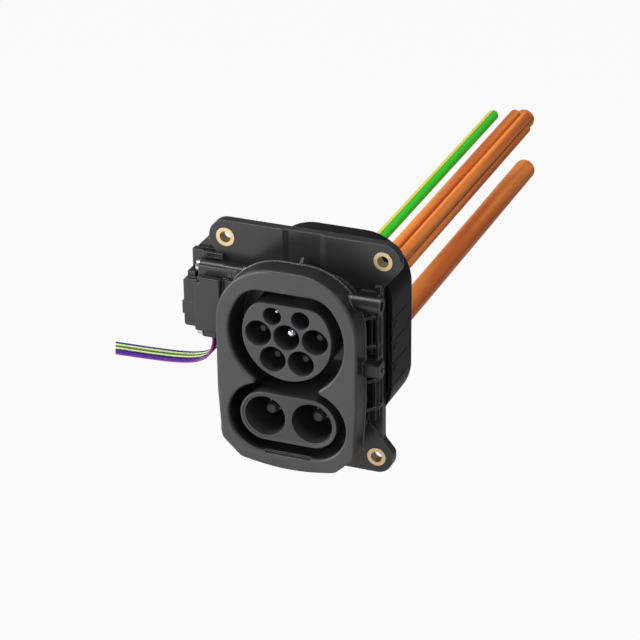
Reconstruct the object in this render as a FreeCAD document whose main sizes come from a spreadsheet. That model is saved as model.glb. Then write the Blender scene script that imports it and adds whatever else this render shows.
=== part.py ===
# Combined AC and DC charging inlet for a vehicle, with its lock actuator and tails of cable.
# Frame: X to the right seen from outside the vehicle, Y into the vehicle, Z up. Millimetres.
# Origin: where the axis of the round AC socket meets the front of the mounting flange.
import FreeCAD, Part
import Sketcher
import ast
import math
import operator
import os
import re

Vector = FreeCAD.Vector
Rotation = FreeCAD.Rotation
Placement = FreeCAD.Placement

doc = FreeCAD.newDocument("charge_port_inlet")
dims = doc.addObject("Spreadsheet::Sheet", "dims")

# Driving dimensions
sizes = {
    # planes along the socket axis
    "face_y": -25.4,
    "dc_face_y": -24.8,
    "collar_front_y": -27.1,
    "collar_depth": 14.3,
    "ac_floor_y": -4.4,
    "dc_floor_y": 6.6,
    "floor_wall": 3.0,
    "flange_thick": 5.8,
    "pad_step": 1.2,
    "rear_y": 38,
    # collar outline
    "collar_rim": 7.3,
    "collar_brow": 12.4,
    "collar_top_radius": 34,
    "collar_side_z": -36,
    "collar_side_radius": 60,
    "cheek_inset": 1.9,
    "cheek_z": -66,
    "cheek_radius": 5,
    "chin_inset": 13.1,
    "chin_z": -76.4,
    "chin_radius": 7,
    "collar_bottom_z": -81.6,
    "collar_bottom_radius": 100,
    "collar_wall": 2.8,
    "skirt_wall": 2.2,
    "lip_radius": 1.3,
    "bead_height": 0.45,
    "bead_length": 0.9,
    "slope_top_z": -73,
    "slope_depth": 2.4,
    # socket openings
    "ac_opening_radius": 33.2,
    "ac_opening_flat_z": 26.1,
    "ac_opening_corner": 15.5,
    "dc_opening_radius": 20.4,
    "waist_radius": 1.9,
    "socket_wall": 3.0,
    "step_z": -19,
    "notch_half_width": 13.5,
    "notch_depth": 1.0,
    "drain_width": 9,
    # contact layout
    "ac_pitch": 16.3,
    "ac_low_x": 8.15,
    "ac_low_z": -14.1,
    "pilot_x": 8.1,
    "pilot_z": 11.35,
    "dc_half_pitch": 13.65,
    "dc_z": -49.8,
    # contact carriers
    "ac_insert_radius": 25.7,
    "ac_insert_flat_z": 18.7,
    "ac_insert_corner": 12,
    "dc_insert_radius": 14.45,
    "insert_rim": 1.6,
    "insert_rim_step": 0.5,
    "insert_edge": 0.35,
    "insert_rear_y": 9.6,
    "insert_play": 0.1,
    "power_hole_radius": 7.4,
    "pilot_hole_radius": 5.15,
    "dc_hole_radius": 11.8,
    "well_floor_y": 4.0,
    "dc_core_radius": 8.0,
    "gasket_thick": 0.6,
    # contacts
    "power_pin_radius": 3.0,
    "pilot_pin_radius": 1.5,
    "dc_pin_radius": 4.0,
    "power_pin_y": -18.6,
    "earth_pin_y": -19.9,
    "near_pilot_y": -19.4,
    "far_pilot_y": -13.0,
    "dc_pin_y": -15.6,
    "guard_length": 3.4,
    "guard_tip_radius": 1.55,
    "dc_guard_tip_radius": 2.55,
    "barrel_length": 12,
    # flange
    "ear_x": 45.4,
    "ear_z": 41.2,
    "ear_radius": 9.6,
    "foot_x": 41.7,
    "foot_z": -76.8,
    "foot_radius": 9.4,
    "flange_rim": 4.4,
    "ear_flank_z": 37,
    "neck_top_z": 25,
    "neck_low_z": -66,
    "foot_flank_z": -73.5,
    "bush_radius": 5.35,
    "bush_bore_radius": 3.2,
    "bush_length": 6.6,
    "channel_left_x": -12.1,
    "channel_right_x": 12.4,
    "channel_depth": 1.1,
    "channel_side": 3.2,
    "gusset_thick": 1.6,
    # right flank
    "lock_boss_y": -14.9,
    "lock_boss_z": 22.4,
    "lock_boss_radius": 4.45,
    "lock_boss_bore": 2.8,
    "lock_boss_end": 50.3,
    "low_boss_z": -15.1,
    "low_boss_height": 8.4,
    "low_boss_depth": 7.2,
    "low_boss_end": 50.5,
    # rear housing
    "rear_left_x": -33.3,
    "rear_right_x": 48.6,
    "rear_top_z": 41,
    "rear_low_z": -61,
    "rear_corner": 27,
    "rear_low_corner": 27,
    "rear_left_corner": 9,
    "rear_wall": 2.6,
    "rear_edge_radius": 3,
    "snap_top_z": 4.8,
    "snap_pitch": 13.1,
    "snap_groove": 0.9,
    "snap_groove_depth": 0.7,
    "retainer_right_x": 30,
    "retainer_top_z": 24,
    "retainer_step_z": -38,
    # cables
    "ac_cable_x": 20.0,
    "ac_cable_z": -0.6,
    "ac_cable_pitch": 7.4,
    "ac_cable_radius": 3.5,
    "earth_cable_x": 1.0,
    "earth_cable_radius": 3.45,
    "dc_cable_z": -47.2,
    "dc_cable_radius": 6.7,
    "cuff_wall": 2.2,
    "cuff_length": 3,
    "rib_pitch": 6,
    "seal_length": 6,
    "retainer_thick": 2.4,
    # lock actuator
    "bolt_y": -7.4,
    "bolt_z": 25.4,
    "bolt_radius": 2.2,
    "bolt_travel": 7,
    "bolt_overhang": 1.9,
    "bolt_tip_length": 7.2,
    "guide_radius": 3.5,
    "guide_nose_radius": 3.1,
    "guide_play": 0.08,
    "guide_setback": 8,
    "guide_reach": 2,
    "bush_sleeve_radius": 2.7,
    "rack_module": 0.8,
    "rack_addendum": 0.7,
    "rack_root": 0.85,
    "rack_width": 3.0,
    "rack_drop": 3.2,
    "rack_end": 1.05,
    "gear_offset": 7.5,
    "gear_module": 0.5,
    "gear_tip": 0.48,
    "gear_clear": 0.42,
    "gear_rear_y": -3.1,
    "gear_width": 1.8,
    "motor_radius": 5,
    "motor_clear": 1.2,
    "motor_front_y": -2.4,
    "motor_length": 10.6,
    "shaft_radius": 0.9,
    "axle_radius": 1.0,
    "casing_gap": 0.4,
    "casing_width": 19.7,
    "casing_clear": 2,
    "casing_low_z": -8.6,
    "casing_top_z": 19.4,
    "casing_front_y": -10.85,
    "casing_rear_y": -0.6,
    "casing_deep_y": 10,
    "casing_wall": 1.5,
    "block_cover": 1.6,
    "block_wall": 1.0,
    "lid_cover": 3.1,
    "lid_front_y": -12.4,
    "lid_step_y": -13.4,
    "band_low_z": -1.4,
    "band_high_z": 5.9,
    "band_height": 0.8,
    "cover_front_y": -16.4,
    "cover_gap": 1.8,
    "cover_width": 15.4,
    "cover_notch": 3.2,
    "cover_top_z": 22.4,
    "cover_edge": 0.8,
    "bracket_top_z": 30.9,
    "bracket_front_y": 0.5,
    "bracket_rear_y": 9,
    "tab_low_z": 28.2,
    "tab_high_z": 31.4,
    "tab_left_x": -58.2,
    "tab_right_x": -46.5,
    "lug_inset": 3.3,
    "lug_reach": 3.2,
    "lug_high_z": 22,
    "lug_low_z": -2,
    "screw_radius": 1.3,
    # signal wires
    "wire_radius": 0.65,
    "wire_pitch": 2.0,
    "wire_exit_x": -48,
    "wire_front_y": -13.4,
    "wire_end_x": -107.8,
    "wire_end_step": 0.95,
    "plug_margin": 2,
    "plug_width": 12,
    "plug_low_z": -13.2,
}
WHEEL_TEETH = 30
PINION_TEETH = 10
DRIVE_TEETH = 10

# Places that follow from the driving dimensions
places = {
    "collar_half_width": "ac_opening_radius + collar_rim",
    "collar_top_z": "ac_opening_flat_z + collar_brow",
    "cheek_half_width": "collar_half_width - cheek_inset",
    "chin_half_width": "collar_half_width - chin_inset",
    "flange_half_width": "collar_half_width + flange_rim",
    "casing_deep_x": "-(flange_half_width + casing_gap)",
    "casing_left_x": "casing_deep_x - casing_width",
    "casing_right_x": "-(ac_opening_radius + socket_wall + casing_clear)",
    "guide_left_x": "casing_left_x + guide_setback",
    "guide_end_x": "-(ac_opening_radius - guide_reach)",
    "bolt_left_x": "guide_left_x - bolt_overhang",
    "bolt_tip_x": "guide_end_x + bolt_tip_length",
    "wheel_radius": f"{WHEEL_TEETH / 2} * gear_module",
    "gear_distance": f"{(WHEEL_TEETH + PINION_TEETH) / 2} * gear_module",
    "rack_drive_radius": f"{DRIVE_TEETH / 2} * rack_module",
    "rack_line_z": "bolt_z - rack_drop",
    "gear_z": "rack_line_z - rack_drive_radius",
    "motor_x": "casing_deep_x - motor_radius - motor_clear",
    "motor_z": "gear_z - sqrt(gear_distance * gear_distance - gear_offset * gear_offset)",
    "gear_x": "motor_x + gear_offset",
    "gear_room": "wheel_radius + gear_tip + gear_clear",
    "gear_floor_y": "gear_rear_y + 1.2",
    "block_right_x": "gear_x + gear_room + block_wall",
    "block_top_z": "bolt_z + block_cover",
    "lid_top_z": "gear_z + lid_cover",
    "cover_right_x": "-(collar_half_width + cover_gap)",
    "cover_left_x": "cover_right_x - cover_width",
    "lug_x": "-(flange_half_width - lug_inset)",
    "bracket_left_x": "casing_left_x - 0.4",
    "plug_right_x": "wire_exit_x + plug_margin",
    "plug_left_x": "plug_right_x - plug_width",
    "plug_top_z": "casing_low_z - 0.85",
    "carrier_back_y": "insert_rear_y + floor_wall",
    "rear_inside_y": "rear_y - rear_wall",
}
RACK_PITCH = f"{math.pi:.6f} * rack_module"
RACK_LEFT = f"gear_x - 3 * {RACK_PITCH} - rack_end"
for row, (alias, number) in enumerate(sizes.items(), start=1):
    dims.set(f"A{row}", alias)
    dims.set(f"B{row}", str(number))
    dims.setAlias(f"B{row}", alias)
doc.recompute()


def spell_out(formula):
    """Put each place's own formula where its name stands."""
    while any(word in places for word in re.findall(r"[a-z_]+", formula)):
        formula = re.sub(r"[a-z_]+", lambda word: f"({places[word[0]]})" if word[0] in places else word[0],
                         formula)
    return formula


def bound(formula):
    """Write a formula of size names as an expression on the sheet."""
    words = spell_out(formula)
    return re.sub(r"[a-z_]+", lambda word: "dims." + word[0] if word[0] in sizes else word[0], words)


SIGNS = {ast.Add: operator.add, ast.Sub: operator.sub, ast.Mult: operator.mul, ast.Div: operator.truediv}


def work_out(term):
    if isinstance(term, ast.Constant):
        return term.value
    if isinstance(term, ast.Name):
        return sizes[term.id]
    if isinstance(term, ast.UnaryOp):
        return -work_out(term.operand)
    if isinstance(term, ast.Call):
        return math.sqrt(work_out(term.args[0]))
    return SIGNS[type(term.op)](work_out(term.left), work_out(term.right))


def size(formula):
    """Work out a formula of size names."""
    return float(work_out(ast.parse(spell_out(formula)).body[0].value))


def link(item, property_name, formula):
    item.setExpression(property_name, bound(formula))


# Bodies, sketches and features
def new_body(label, x="0", y="0", z="0"):
    body = doc.addObject("PartDesign::Body", "body_" + label)
    body.Label = label
    for axis, formula in (("x", x), ("y", y), ("z", z)):
        if formula != "0":
            link(body, f"Placement.Base.{axis}", formula)
    return body


def new_sketch(body, name, role="XZ_Plane", offset="0"):
    sketch = body.newObject("Sketcher::SketchObject", name)
    plane = [item for item in body.Origin.OriginFeatures if item.Role == role][0]
    sketch.AttachmentSupport = [(plane, "")]
    sketch.MapMode = "FlatFace"
    if offset != "0":
        sign = "-" if role == "XZ_Plane" else ""
        link(sketch, "AttachmentOffset.Base.z", f"{sign}({offset})")
    return sketch


def pin_point(sketch, geometry, end, across, up):
    """Tie a point of a sketch to two formulas."""
    for kind, axis, formula in (("DistanceX", -2, across), ("DistanceY", -1, up)):
        if abs(size(formula)) < 1e-9:
            sketch.addConstraint(Sketcher.Constraint("PointOnObject", geometry, end, axis))
        else:
            index = sketch.addConstraint(Sketcher.Constraint(kind, -1, 1, geometry, end, size(formula)))
            link(sketch, f"Constraints[{index}]", formula)


def set_radius(sketch, geometry, formula):
    index = sketch.addConstraint(Sketcher.Constraint("Radius", geometry, size(formula)))
    link(sketch, f"Constraints[{index}]", formula)


def draw_circle(sketch, across, up, radius):
    centre = Vector(size(across), size(up), 0)
    circle = sketch.addGeometry(Part.Circle(centre, Vector(0, 0, 1), size(radius)), False)
    pin_point(sketch, circle, 3, across, up)
    set_radius(sketch, circle, radius)


def draw_polygon(sketch, corners):
    """Closed outline through corners given as pairs of formulas."""
    points = [Vector(size(across), size(up), 0) for across, up in corners]
    count = len(points)
    lines = [sketch.addGeometry(Part.LineSegment(points[i], points[(i + 1) % count]), False)
             for i in range(count)]
    for i, line in enumerate(lines):
        following = lines[(i + 1) % count]
        sketch.addConstraint(Sketcher.Constraint("Coincident", line, 2, following, 1))
        pin_point(sketch, line, 1, *corners[i])


def draw_box(sketch, left, right, low, high):
    draw_polygon(sketch, [(left, low), (right, low), (right, high), (left, high)])


def draw_rounded(sketch, corners):
    """Closed outline of straight sides whose corners (across, up, radius) are rounded."""
    points = [Vector(size(c[0]), size(c[1]), 0) for c in corners]
    radii = [size(c[2]) for c in corners]
    count = len(points)
    ends = []
    arcs = []
    for i in range(count):
        here = points[i]
        back = (points[i - 1] - here).normalize()
        ahead = (points[(i + 1) % count] - here).normalize()
        half = back.getAngle(ahead) / 2
        reach = radii[i] / math.tan(half)
        centre = here + (back + ahead).normalize() * (radii[i] / math.sin(half))
        start = here + back * reach
        stop = here + ahead * reach
        ends.append((start, stop))
        arcs.append(Part.Arc(start, centre + (here - centre).normalize() * radii[i], stop))
    lines = [sketch.addGeometry(Part.LineSegment(ends[i][1], ends[(i + 1) % count][0]), False)
             for i in range(count)]
    for i in range(count):
        arc = sketch.addGeometry(arcs[i], False)
        before, after = lines[i - 1], lines[i]
        begins = sketch.getPoint(arc, 1)
        first, last = (1, 2) if begins.distanceToPoint(ends[i][0]) < 1e-4 else (2, 1)
        sketch.addConstraint(Sketcher.Constraint("Tangent", before, 2, arc, first))
        sketch.addConstraint(Sketcher.Constraint("Tangent", after, 1, arc, last))
        set_radius(sketch, arc, corners[i][2])
        vertex = sketch.addGeometry(Part.Point(points[i]), True)
        pin_point(sketch, vertex, 1, corners[i][0], corners[i][1])
        sketch.addConstraint(Sketcher.Constraint("PointOnObject", vertex, 1, before))
        sketch.addConstraint(Sketcher.Constraint("PointOnObject", vertex, 1, after))


def draw_slot(sketch, half_pitch, up, radius):
    """Stadium lying along X, centred on X = 0."""
    c, z, r = size(half_pitch), size(up), size(radius)
    top = sketch.addGeometry(Part.LineSegment(Vector(-c, z + r, 0), Vector(c, z + r, 0)), False)
    right = sketch.addGeometry(Part.ArcOfCircle(Part.Circle(Vector(c, z, 0), Vector(0, 0, 1), r),
                                                -math.pi / 2, math.pi / 2), False)
    low = sketch.addGeometry(Part.LineSegment(Vector(c, z - r, 0), Vector(-c, z - r, 0)), False)
    left = sketch.addGeometry(Part.ArcOfCircle(Part.Circle(Vector(-c, z, 0), Vector(0, 0, 1), r),
                                               math.pi / 2, 3 * math.pi / 2), False)
    joins = ((top, 2, right, 2), (right, 1, low, 1), (low, 2, left, 2), (left, 1, top, 1))
    for first, first_end, second, second_end in joins:
        sketch.addConstraint(Sketcher.Constraint("Tangent", first, first_end, second, second_end))
    pin_point(sketch, right, 3, half_pitch, up)
    pin_point(sketch, left, 3, f"-({half_pitch})", up)
    set_radius(sketch, right, radius)


def draw_dee(sketch, radius, flat, corner):
    """Circle about the origin with a flat top whose two corners are rounded."""
    r, f, c = size(radius), size(flat), size(corner)
    reach = math.sqrt((r - c) ** 2 - (f - c) ** 2)
    lean = math.atan2(f - c, reach)
    axis = Vector(0, 0, 1)
    round_part = sketch.addGeometry(Part.ArcOfCircle(Part.Circle(Vector(), axis, r),
                                                     math.pi - lean, 2 * math.pi + lean), False)
    right = sketch.addGeometry(Part.ArcOfCircle(Part.Circle(Vector(reach, f - c, 0), axis, c),
                                                lean, math.pi / 2), False)
    left = sketch.addGeometry(Part.ArcOfCircle(Part.Circle(Vector(-reach, f - c, 0), axis, c),
                                               math.pi / 2, math.pi - lean), False)
    top = sketch.addGeometry(Part.LineSegment(Vector(reach, f, 0), Vector(-reach, f, 0)), False)
    joins = ((round_part, 2, right, 1), (right, 2, top, 1), (top, 2, left, 1), (left, 2, round_part, 1))
    for first, first_end, second, second_end in joins:
        sketch.addConstraint(Sketcher.Constraint("Tangent", first, first_end, second, second_end))
    sketch.addConstraint(Sketcher.Constraint("Coincident", round_part, 3, -1, 1))
    sketch.addConstraint(Sketcher.Constraint("Horizontal", top))
    index = sketch.addConstraint(Sketcher.Constraint("DistanceY", -1, 1, top, 1, f))
    link(sketch, f"Constraints[{index}]", flat)
    set_radius(sketch, round_part, radius)
    set_radius(sketch, right, corner)
    set_radius(sketch, left, corner)


def draw_keyhole(sketch, step=None):
    """Round AC opening and oval DC opening in one outline, with rounded cusps at the waist.

    Without a step the top is the AC opening's; with one it is a level line at that height.
    """
    axis = Vector(0, 0, 1)
    big, small, waist = size("ac_opening_radius"), size("dc_opening_radius"), size("waist_radius")
    low = Vector(size("dc_half_pitch"), size("dc_z"), 0)
    reach = low.Length
    along = ((big + waist) ** 2 - (small + waist) ** 2 + reach ** 2) / (2 * reach)
    aside = math.sqrt((big + waist) ** 2 - along ** 2)
    way = Vector(low).normalize()
    cusp = way * along + Vector(-way.y, way.x, 0) * aside
    from_cusp = low - cusp

    def arc(centre, radius, start, stop, side):
        """Arc on the right side, or its mirror image on the left."""
        if side < 0:
            start, stop = math.pi - stop, math.pi - start
        circle = Part.Circle(Vector(side * centre.x, centre.y, 0), axis, radius)
        return sketch.addGeometry(Part.ArcOfCircle(circle, start, stop), False)

    def line(start, stop):
        return sketch.addGeometry(Part.LineSegment(Vector(*start, 0), Vector(*stop, 0)), False)

    if step:
        lean = math.asin(size(step) / big)
    else:
        flat, corner = size("ac_opening_flat_z"), size("ac_opening_corner")
        across = math.sqrt((big - corner) ** 2 - (flat - corner) ** 2)
        lean = math.atan2(flat - corner, across)
    cusp_angle = math.atan2(cusp.y, cusp.x)
    toward_low = math.atan2(from_cusp.y, from_cusp.x) + 2 * math.pi
    curves = {}
    for side in (1, -1):
        curves[side, "round"] = arc(Vector(), big, cusp_angle, lean, side)
        curves[side, "waist"] = arc(cusp, waist, cusp_angle + math.pi, toward_low, side)
        curves[side, "oval"] = arc(low, small, -math.pi / 2, toward_low - math.pi, side)
    floor = line((-low.x, low.y - small), (low.x, low.y - small))
    joins = [(floor, 2, curves[1, "oval"], 1), (curves[1, "oval"], 2, curves[1, "waist"], 2),
             (curves[1, "waist"], 1, curves[1, "round"], 1), (floor, 1, curves[-1, "oval"], 2),
             (curves[-1, "oval"], 1, curves[-1, "waist"], 1),
             (curves[-1, "waist"], 2, curves[-1, "round"], 2)]
    if step:
        half = big * math.cos(lean)
        roof = line((half, size(step)), (-half, size(step)))
        for first, first_end, second, second_end in ((curves[1, "round"], 2, roof, 1),
                                                     (roof, 2, curves[-1, "round"], 1)):
            sketch.addConstraint(Sketcher.Constraint("Coincident", first, first_end, second, second_end))
        height = step
    else:
        roof = line((across, flat), (-across, flat))
        for side in (1, -1):
            centre = Vector(across, flat - corner, 0)
            curves[side, "corner"] = arc(centre, corner, lean, math.pi / 2, side)
            set_radius(sketch, curves[side, "corner"], "ac_opening_corner")
        joins += [(curves[1, "round"], 2, curves[1, "corner"], 1), (curves[1, "corner"], 2, roof, 1),
                  (roof, 2, curves[-1, "corner"], 1), (curves[-1, "corner"], 2, curves[-1, "round"], 1)]
        height = "ac_opening_flat_z"
    for first, first_end, second, second_end in joins:
        sketch.addConstraint(Sketcher.Constraint("Tangent", first, first_end, second, second_end))
    sketch.addConstraint(Sketcher.Constraint("Horizontal", roof))
    index = sketch.addConstraint(Sketcher.Constraint("DistanceY", -1, 1, roof, 1, size(height)))
    link(sketch, f"Constraints[{index}]", height)
    for side in (1, -1):
        sketch.addConstraint(Sketcher.Constraint("Coincident", curves[side, "round"], 3, -1, 1))
        pin_point(sketch, curves[side, "oval"], 3, "dc_half_pitch" if side > 0 else "-dc_half_pitch", "dc_z")
        set_radius(sketch, curves[side, "round"], "ac_opening_radius")
        set_radius(sketch, curves[side, "oval"], "dc_opening_radius")
        set_radius(sketch, curves[side, "waist"], "waist_radius")


def draw_segment(sketch, radius, chord):
    """Lower segment of a circle about the origin, closed by a level chord."""
    r, z = size(radius), size(chord)
    lean = math.asin(-z / r)
    arc = sketch.addGeometry(Part.ArcOfCircle(Part.Circle(Vector(), Vector(0, 0, 1), r),
                                              math.pi + lean, 2 * math.pi - lean), False)
    reach = math.sqrt(r * r - z * z)
    line = sketch.addGeometry(Part.LineSegment(Vector(reach, z, 0), Vector(-reach, z, 0)), False)
    sketch.addConstraint(Sketcher.Constraint("Coincident", arc, 2, line, 1))
    sketch.addConstraint(Sketcher.Constraint("Coincident", line, 2, arc, 1))
    sketch.addConstraint(Sketcher.Constraint("Coincident", arc, 3, -1, 1))
    sketch.addConstraint(Sketcher.Constraint("Horizontal", line))
    index = sketch.addConstraint(Sketcher.Constraint("DistanceY", -1, 1, line, 1, z))
    link(sketch, f"Constraints[{index}]", chord)
    set_radius(sketch, arc, radius)


def pad(body, sketch, length, reverse=None, middle=False):
    """Pad a sketch: from the XZ plane it grows into the vehicle, towards +Y."""
    sketch.Visibility = False
    feature = body.newObject("PartDesign::Pad", "Pad_" + sketch.Name)
    feature.Profile = sketch
    flat_front = "XZ" in sketch.AttachmentSupport[0][0].Name
    feature.Reversed = flat_front if reverse is None else reverse
    feature.Midplane = middle
    feature.Refine = False
    link(feature, "Length", length)
    return feature


def pocket(body, sketch, length, reverse=False, middle=False):
    """Pocket a sketch: from the XZ plane it cuts into the vehicle, towards +Y."""
    sketch.Visibility = False
    feature = body.newObject("PartDesign::Pocket", "Pocket_" + sketch.Name)
    feature.Profile = sketch
    feature.Reversed = reverse
    feature.Midplane = middle
    feature.Refine = False
    link(feature, "Length", length)
    return feature


def slab(body, name, front, length, draw, *shape, role="XZ_Plane", middle=False):
    """One padded outline: front is its plane, length its depth."""
    sketch = new_sketch(body, name, role, front)
    draw(sketch, *shape)
    return pad(body, sketch, length, middle=middle)


def hollow(body, name, front, length, draw, *shape, role="XZ_Plane", reverse=False):
    sketch = new_sketch(body, name, role, front)
    draw(sketch, *shape)
    return pocket(body, sketch, length, reverse=reverse)


def edges_where(shape, test):
    return [f"Edge{i}" for i, edge in enumerate(shape.Edges, start=1) if test(edge)]


def fillet(body, name, radius, test):
    doc.recompute()
    base = body.Tip
    edges = edges_where(base.Shape, test)
    feature = body.newObject("PartDesign::Fillet", name)
    feature.Base = (base, edges)
    link(feature, "Radius", radius)
    return feature


def turned(label, outline, x="0", y="0", z="0"):
    """A piece turned about an axis along Y; the outline is (radius, y) pairs of formulas."""
    body = new_body(label, x, y, z)
    sketch = new_sketch(body, "Outline_" + label, "XY_Plane")
    draw_polygon(sketch, outline)
    spin = body.newObject("PartDesign::Revolution", "Turn_" + label)
    spin.Profile = sketch
    spin.ReferenceAxis = (sketch, ["V_Axis"])
    spin.Angle = 360
    return body


def mirror_corners(right_half):
    """Left half of a symmetric outline, in order, after its right half."""
    return right_half + [(f"-({across})", up, radius) for across, up, radius in reversed(right_half)]


# Inlet body: collar, socket walls, floors and flange, moulded in one
def compound_body(label):
    body = new_body(label)
    body.AllowCompound = True
    return body


def collar_outline():
    right = [
        ("collar_half_width", "collar_top_z", "collar_top_radius"),
        ("collar_half_width", "collar_side_z", "collar_side_radius"),
        ("cheek_half_width", "cheek_z", "cheek_radius"),
        ("chin_half_width", "chin_z", "chin_radius"),
    ]
    left = mirror_corners(right)[4:]
    return right + [("0", "collar_bottom_z", "collar_bottom_radius")] + left


def inset(outline, wall):
    """The same outline, moved inwards by a wall."""
    moved = []
    for across, up, radius in outline:
        x, z = size(across), size(up)
        new_x = f"{across} {'-' if x > 0 else '+'} ({wall})" if x else across
        moved.append((new_x, f"{up} {'-' if z > 0 else '+'} ({wall})", f"{radius} - ({wall})"))
    return moved


def make_front_shell():
    body = new_body("front_shell")
    slab(body, "CollarOutline", "collar_front_y", "collar_depth", draw_rounded, collar_outline())
    slab(body, "CollarBead", "collar_front_y + collar_depth - bead_length", "bead_length", draw_rounded,
         inset(collar_outline(), "-bead_height"))
    hollow(body, "KeyholeLip", "collar_front_y - 1", "collar_wall + 1.5", draw_keyhole)
    front = size("collar_front_y")
    fillet(body, "CollarEdges", "lip_radius",
           lambda edge: all(abs(corner.Y - front) < 1e-4 for corner in edge.Vertexes))
    # the chin slopes back
    sketch = new_sketch(body, "ChinSlope", "YZ_Plane")
    draw_polygon(sketch, [("collar_front_y - 2", "slope_top_z"), ("collar_front_y", "slope_top_z"),
                          ("collar_front_y + slope_depth", "collar_bottom_z - 1"),
                          ("collar_front_y - 2", "collar_bottom_z - 1")])
    pocket(body, sketch, "2 * collar_half_width + 10", middle=True)
    sketch = new_sketch(body, "SkirtHollow", offset="collar_front_y + collar_wall")
    draw_rounded(sketch, inset(collar_outline(), "skirt_wall"))
    pocket(body, sketch, "collar_depth - collar_wall")
    tube_front = "collar_front_y + collar_wall - 0.5"
    tube_rear = "dc_floor_y + floor_wall"
    slab(body, "AcTube", tube_front, f"flange_thick - ({tube_front})", draw_dee,
         "ac_opening_radius + socket_wall", "ac_opening_flat_z + socket_wall",
         "ac_opening_corner + socket_wall")
    slab(body, "DcTube", tube_front, f"{tube_rear} - ({tube_front})", draw_slot, "dc_half_pitch", "dc_z",
         "dc_opening_radius + socket_wall")
    slab(body, "DeepFloor", "pad_step", f"{tube_rear} - pad_step", draw_segment,
         "ac_opening_radius + socket_wall", "step_z + socket_wall")
    ear = [
        ("ear_x + ear_radius", "ear_z + ear_radius", "ear_radius"),
        ("ear_x + ear_radius", "ear_flank_z", "5"),
    ]
    foot = [
        ("foot_x + foot_radius", "foot_flank_z", "4"),
        ("foot_x + foot_radius", "foot_z - foot_radius", "foot_radius"),
    ]
    neck = [("flange_half_width", "neck_top_z", "4"), ("flange_half_width", "neck_low_z", "4")]
    plate = ear + neck + foot
    slab(body, "PlateOutline", "pad_step", "flange_thick - pad_step", draw_rounded,
         mirror_corners(plate))
    face = ear + [
        ("flange_half_width - 5", "neck_top_z - 6", "4"),
        ("flange_half_width - 10", "neck_top_z - 16", "4"),
        ("flange_half_width - 10", "foot_flank_z + 20.5", "4"),
    ] + foot
    slab(body, "RaisedFace", "0", "pad_step", draw_rounded, mirror_corners(face))
    sketch = new_sketch(body, "BushHoles", offset="-1")
    for side in ("", "-"):
        draw_circle(sketch, side + "ear_x", "ear_z", "bush_radius")
        draw_circle(sketch, side + "foot_x", "foot_z", "bush_radius")
    pocket(body, sketch, "flange_thick + 2")
    return body


def make_front_ribs():
    """Bosses, ribs and gussets between the collar and the flange."""
    body = compound_body("front_ribs")
    slab(body, "TopGusset", "0", "gusset_thick", draw_polygon,
         [("collar_front_y + collar_depth", "ac_opening_flat_z + 1"), ("0.5", "ac_opening_flat_z + 1"),
          ("0.5", "collar_top_z - 1"), ("0", "collar_top_z - 1")], role="YZ_Plane", middle=True)
    slab(body, "LockBoss", "ac_opening_radius - 3", "lock_boss_end - ac_opening_radius + 3", draw_circle,
         "lock_boss_y", "lock_boss_z", "lock_boss_radius", role="YZ_Plane")
    near, far = "lock_boss_y - low_boss_depth / 2", "lock_boss_y + low_boss_depth / 2"
    low, high = "low_boss_z - low_boss_height / 2", "low_boss_z + low_boss_height / 2"
    slab(body, "LowBoss", "ac_opening_radius - 3", "low_boss_end - ac_opening_radius + 3", draw_rounded,
         [(far, high, "1.4"), (far, low, "1.4"), (near, low, "1.4"), (near, high, "1.4")], role="YZ_Plane")
    for name, z in (("LockBoss", "lock_boss_z"), ("LowBoss", "low_boss_z")):
        slab(body, name + "Web", "ac_opening_radius", "flange_half_width - ac_opening_radius - 0.5", draw_box,
             "lock_boss_y", "pad_step + 0.5", f"{z} - 1.2", f"{z} + 0.4", role="YZ_Plane")
    # small lead-in at the edge of the flange, above the upper boss
    slab(body, "EdgeTab", "-1.4", "pad_step + 1.9", draw_polygon,
         [("flange_half_width - 3.6", "lock_boss_z + 0.5"), ("flange_half_width - 0.5", "lock_boss_z + 1"),
          ("flange_half_width - 0.5", "lock_boss_z + 4.5"), ("flange_half_width - 3.6", "lock_boss_z + 4")])
    for number, z in enumerate(("10", "-7.5", "-28", "-45"), start=1):
        for side in ("", "-")[:2 if number > 2 else 1]:
            inner = side + "(ac_opening_radius + 0.5)"
            outer = side + "(flange_half_width - 0.6)"
            slab(body, f"Gusset{number}{'L' if side else 'R'}", z, "gusset_thick", draw_polygon,
                 [(inner, "collar_front_y + collar_depth"), (outer, "-2.5"),
                  (outer, "pad_step + 0.5"), (inner, "pad_step + 0.5")], role="XY_Plane", middle=True)
    # low ribs along the flange: how far in from its edge, top, bottom and height
    ribs = (("8", "11", "-17", "7"), ("4.6", "12", "-12", "5"), ("1.6", "12", "-15", "4"),
            ("2.9", "-20", "-52", "4"))
    for number, (inwards, high, low, height) in enumerate(ribs, start=1):
        x = f"flange_half_width - {inwards}"
        slab(body, f"Rib{number}", f"-{height}", f"{height} + pad_step + 0.5", draw_box,
             f"{x} - gusset_thick / 2", f"{x} + gusset_thick / 2", low, high)
    # boss that the lock bolt passes through
    slab(body, "BoltBoss", "guide_end_x + 0.2", "bolt_tip_length + 0.8", draw_circle, "bolt_y", "bolt_z",
         "guide_radius + 1", role="YZ_Plane")
    return body


def carrier_seat(play="0"):
    """Outline of the AC carrier's lip and of the hollow that takes it."""
    side = f"ac_insert_radius + 1.3 + {play}"
    high = f"ac_insert_flat_z + 2.8 + {play}"
    low = f"step_z + floor_wall + 1.2 - {play}"
    return [(side, high, "4"), (side, low, "4"), (f"-({side})", low, "4"), (f"-({side})", high, "4")]


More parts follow.
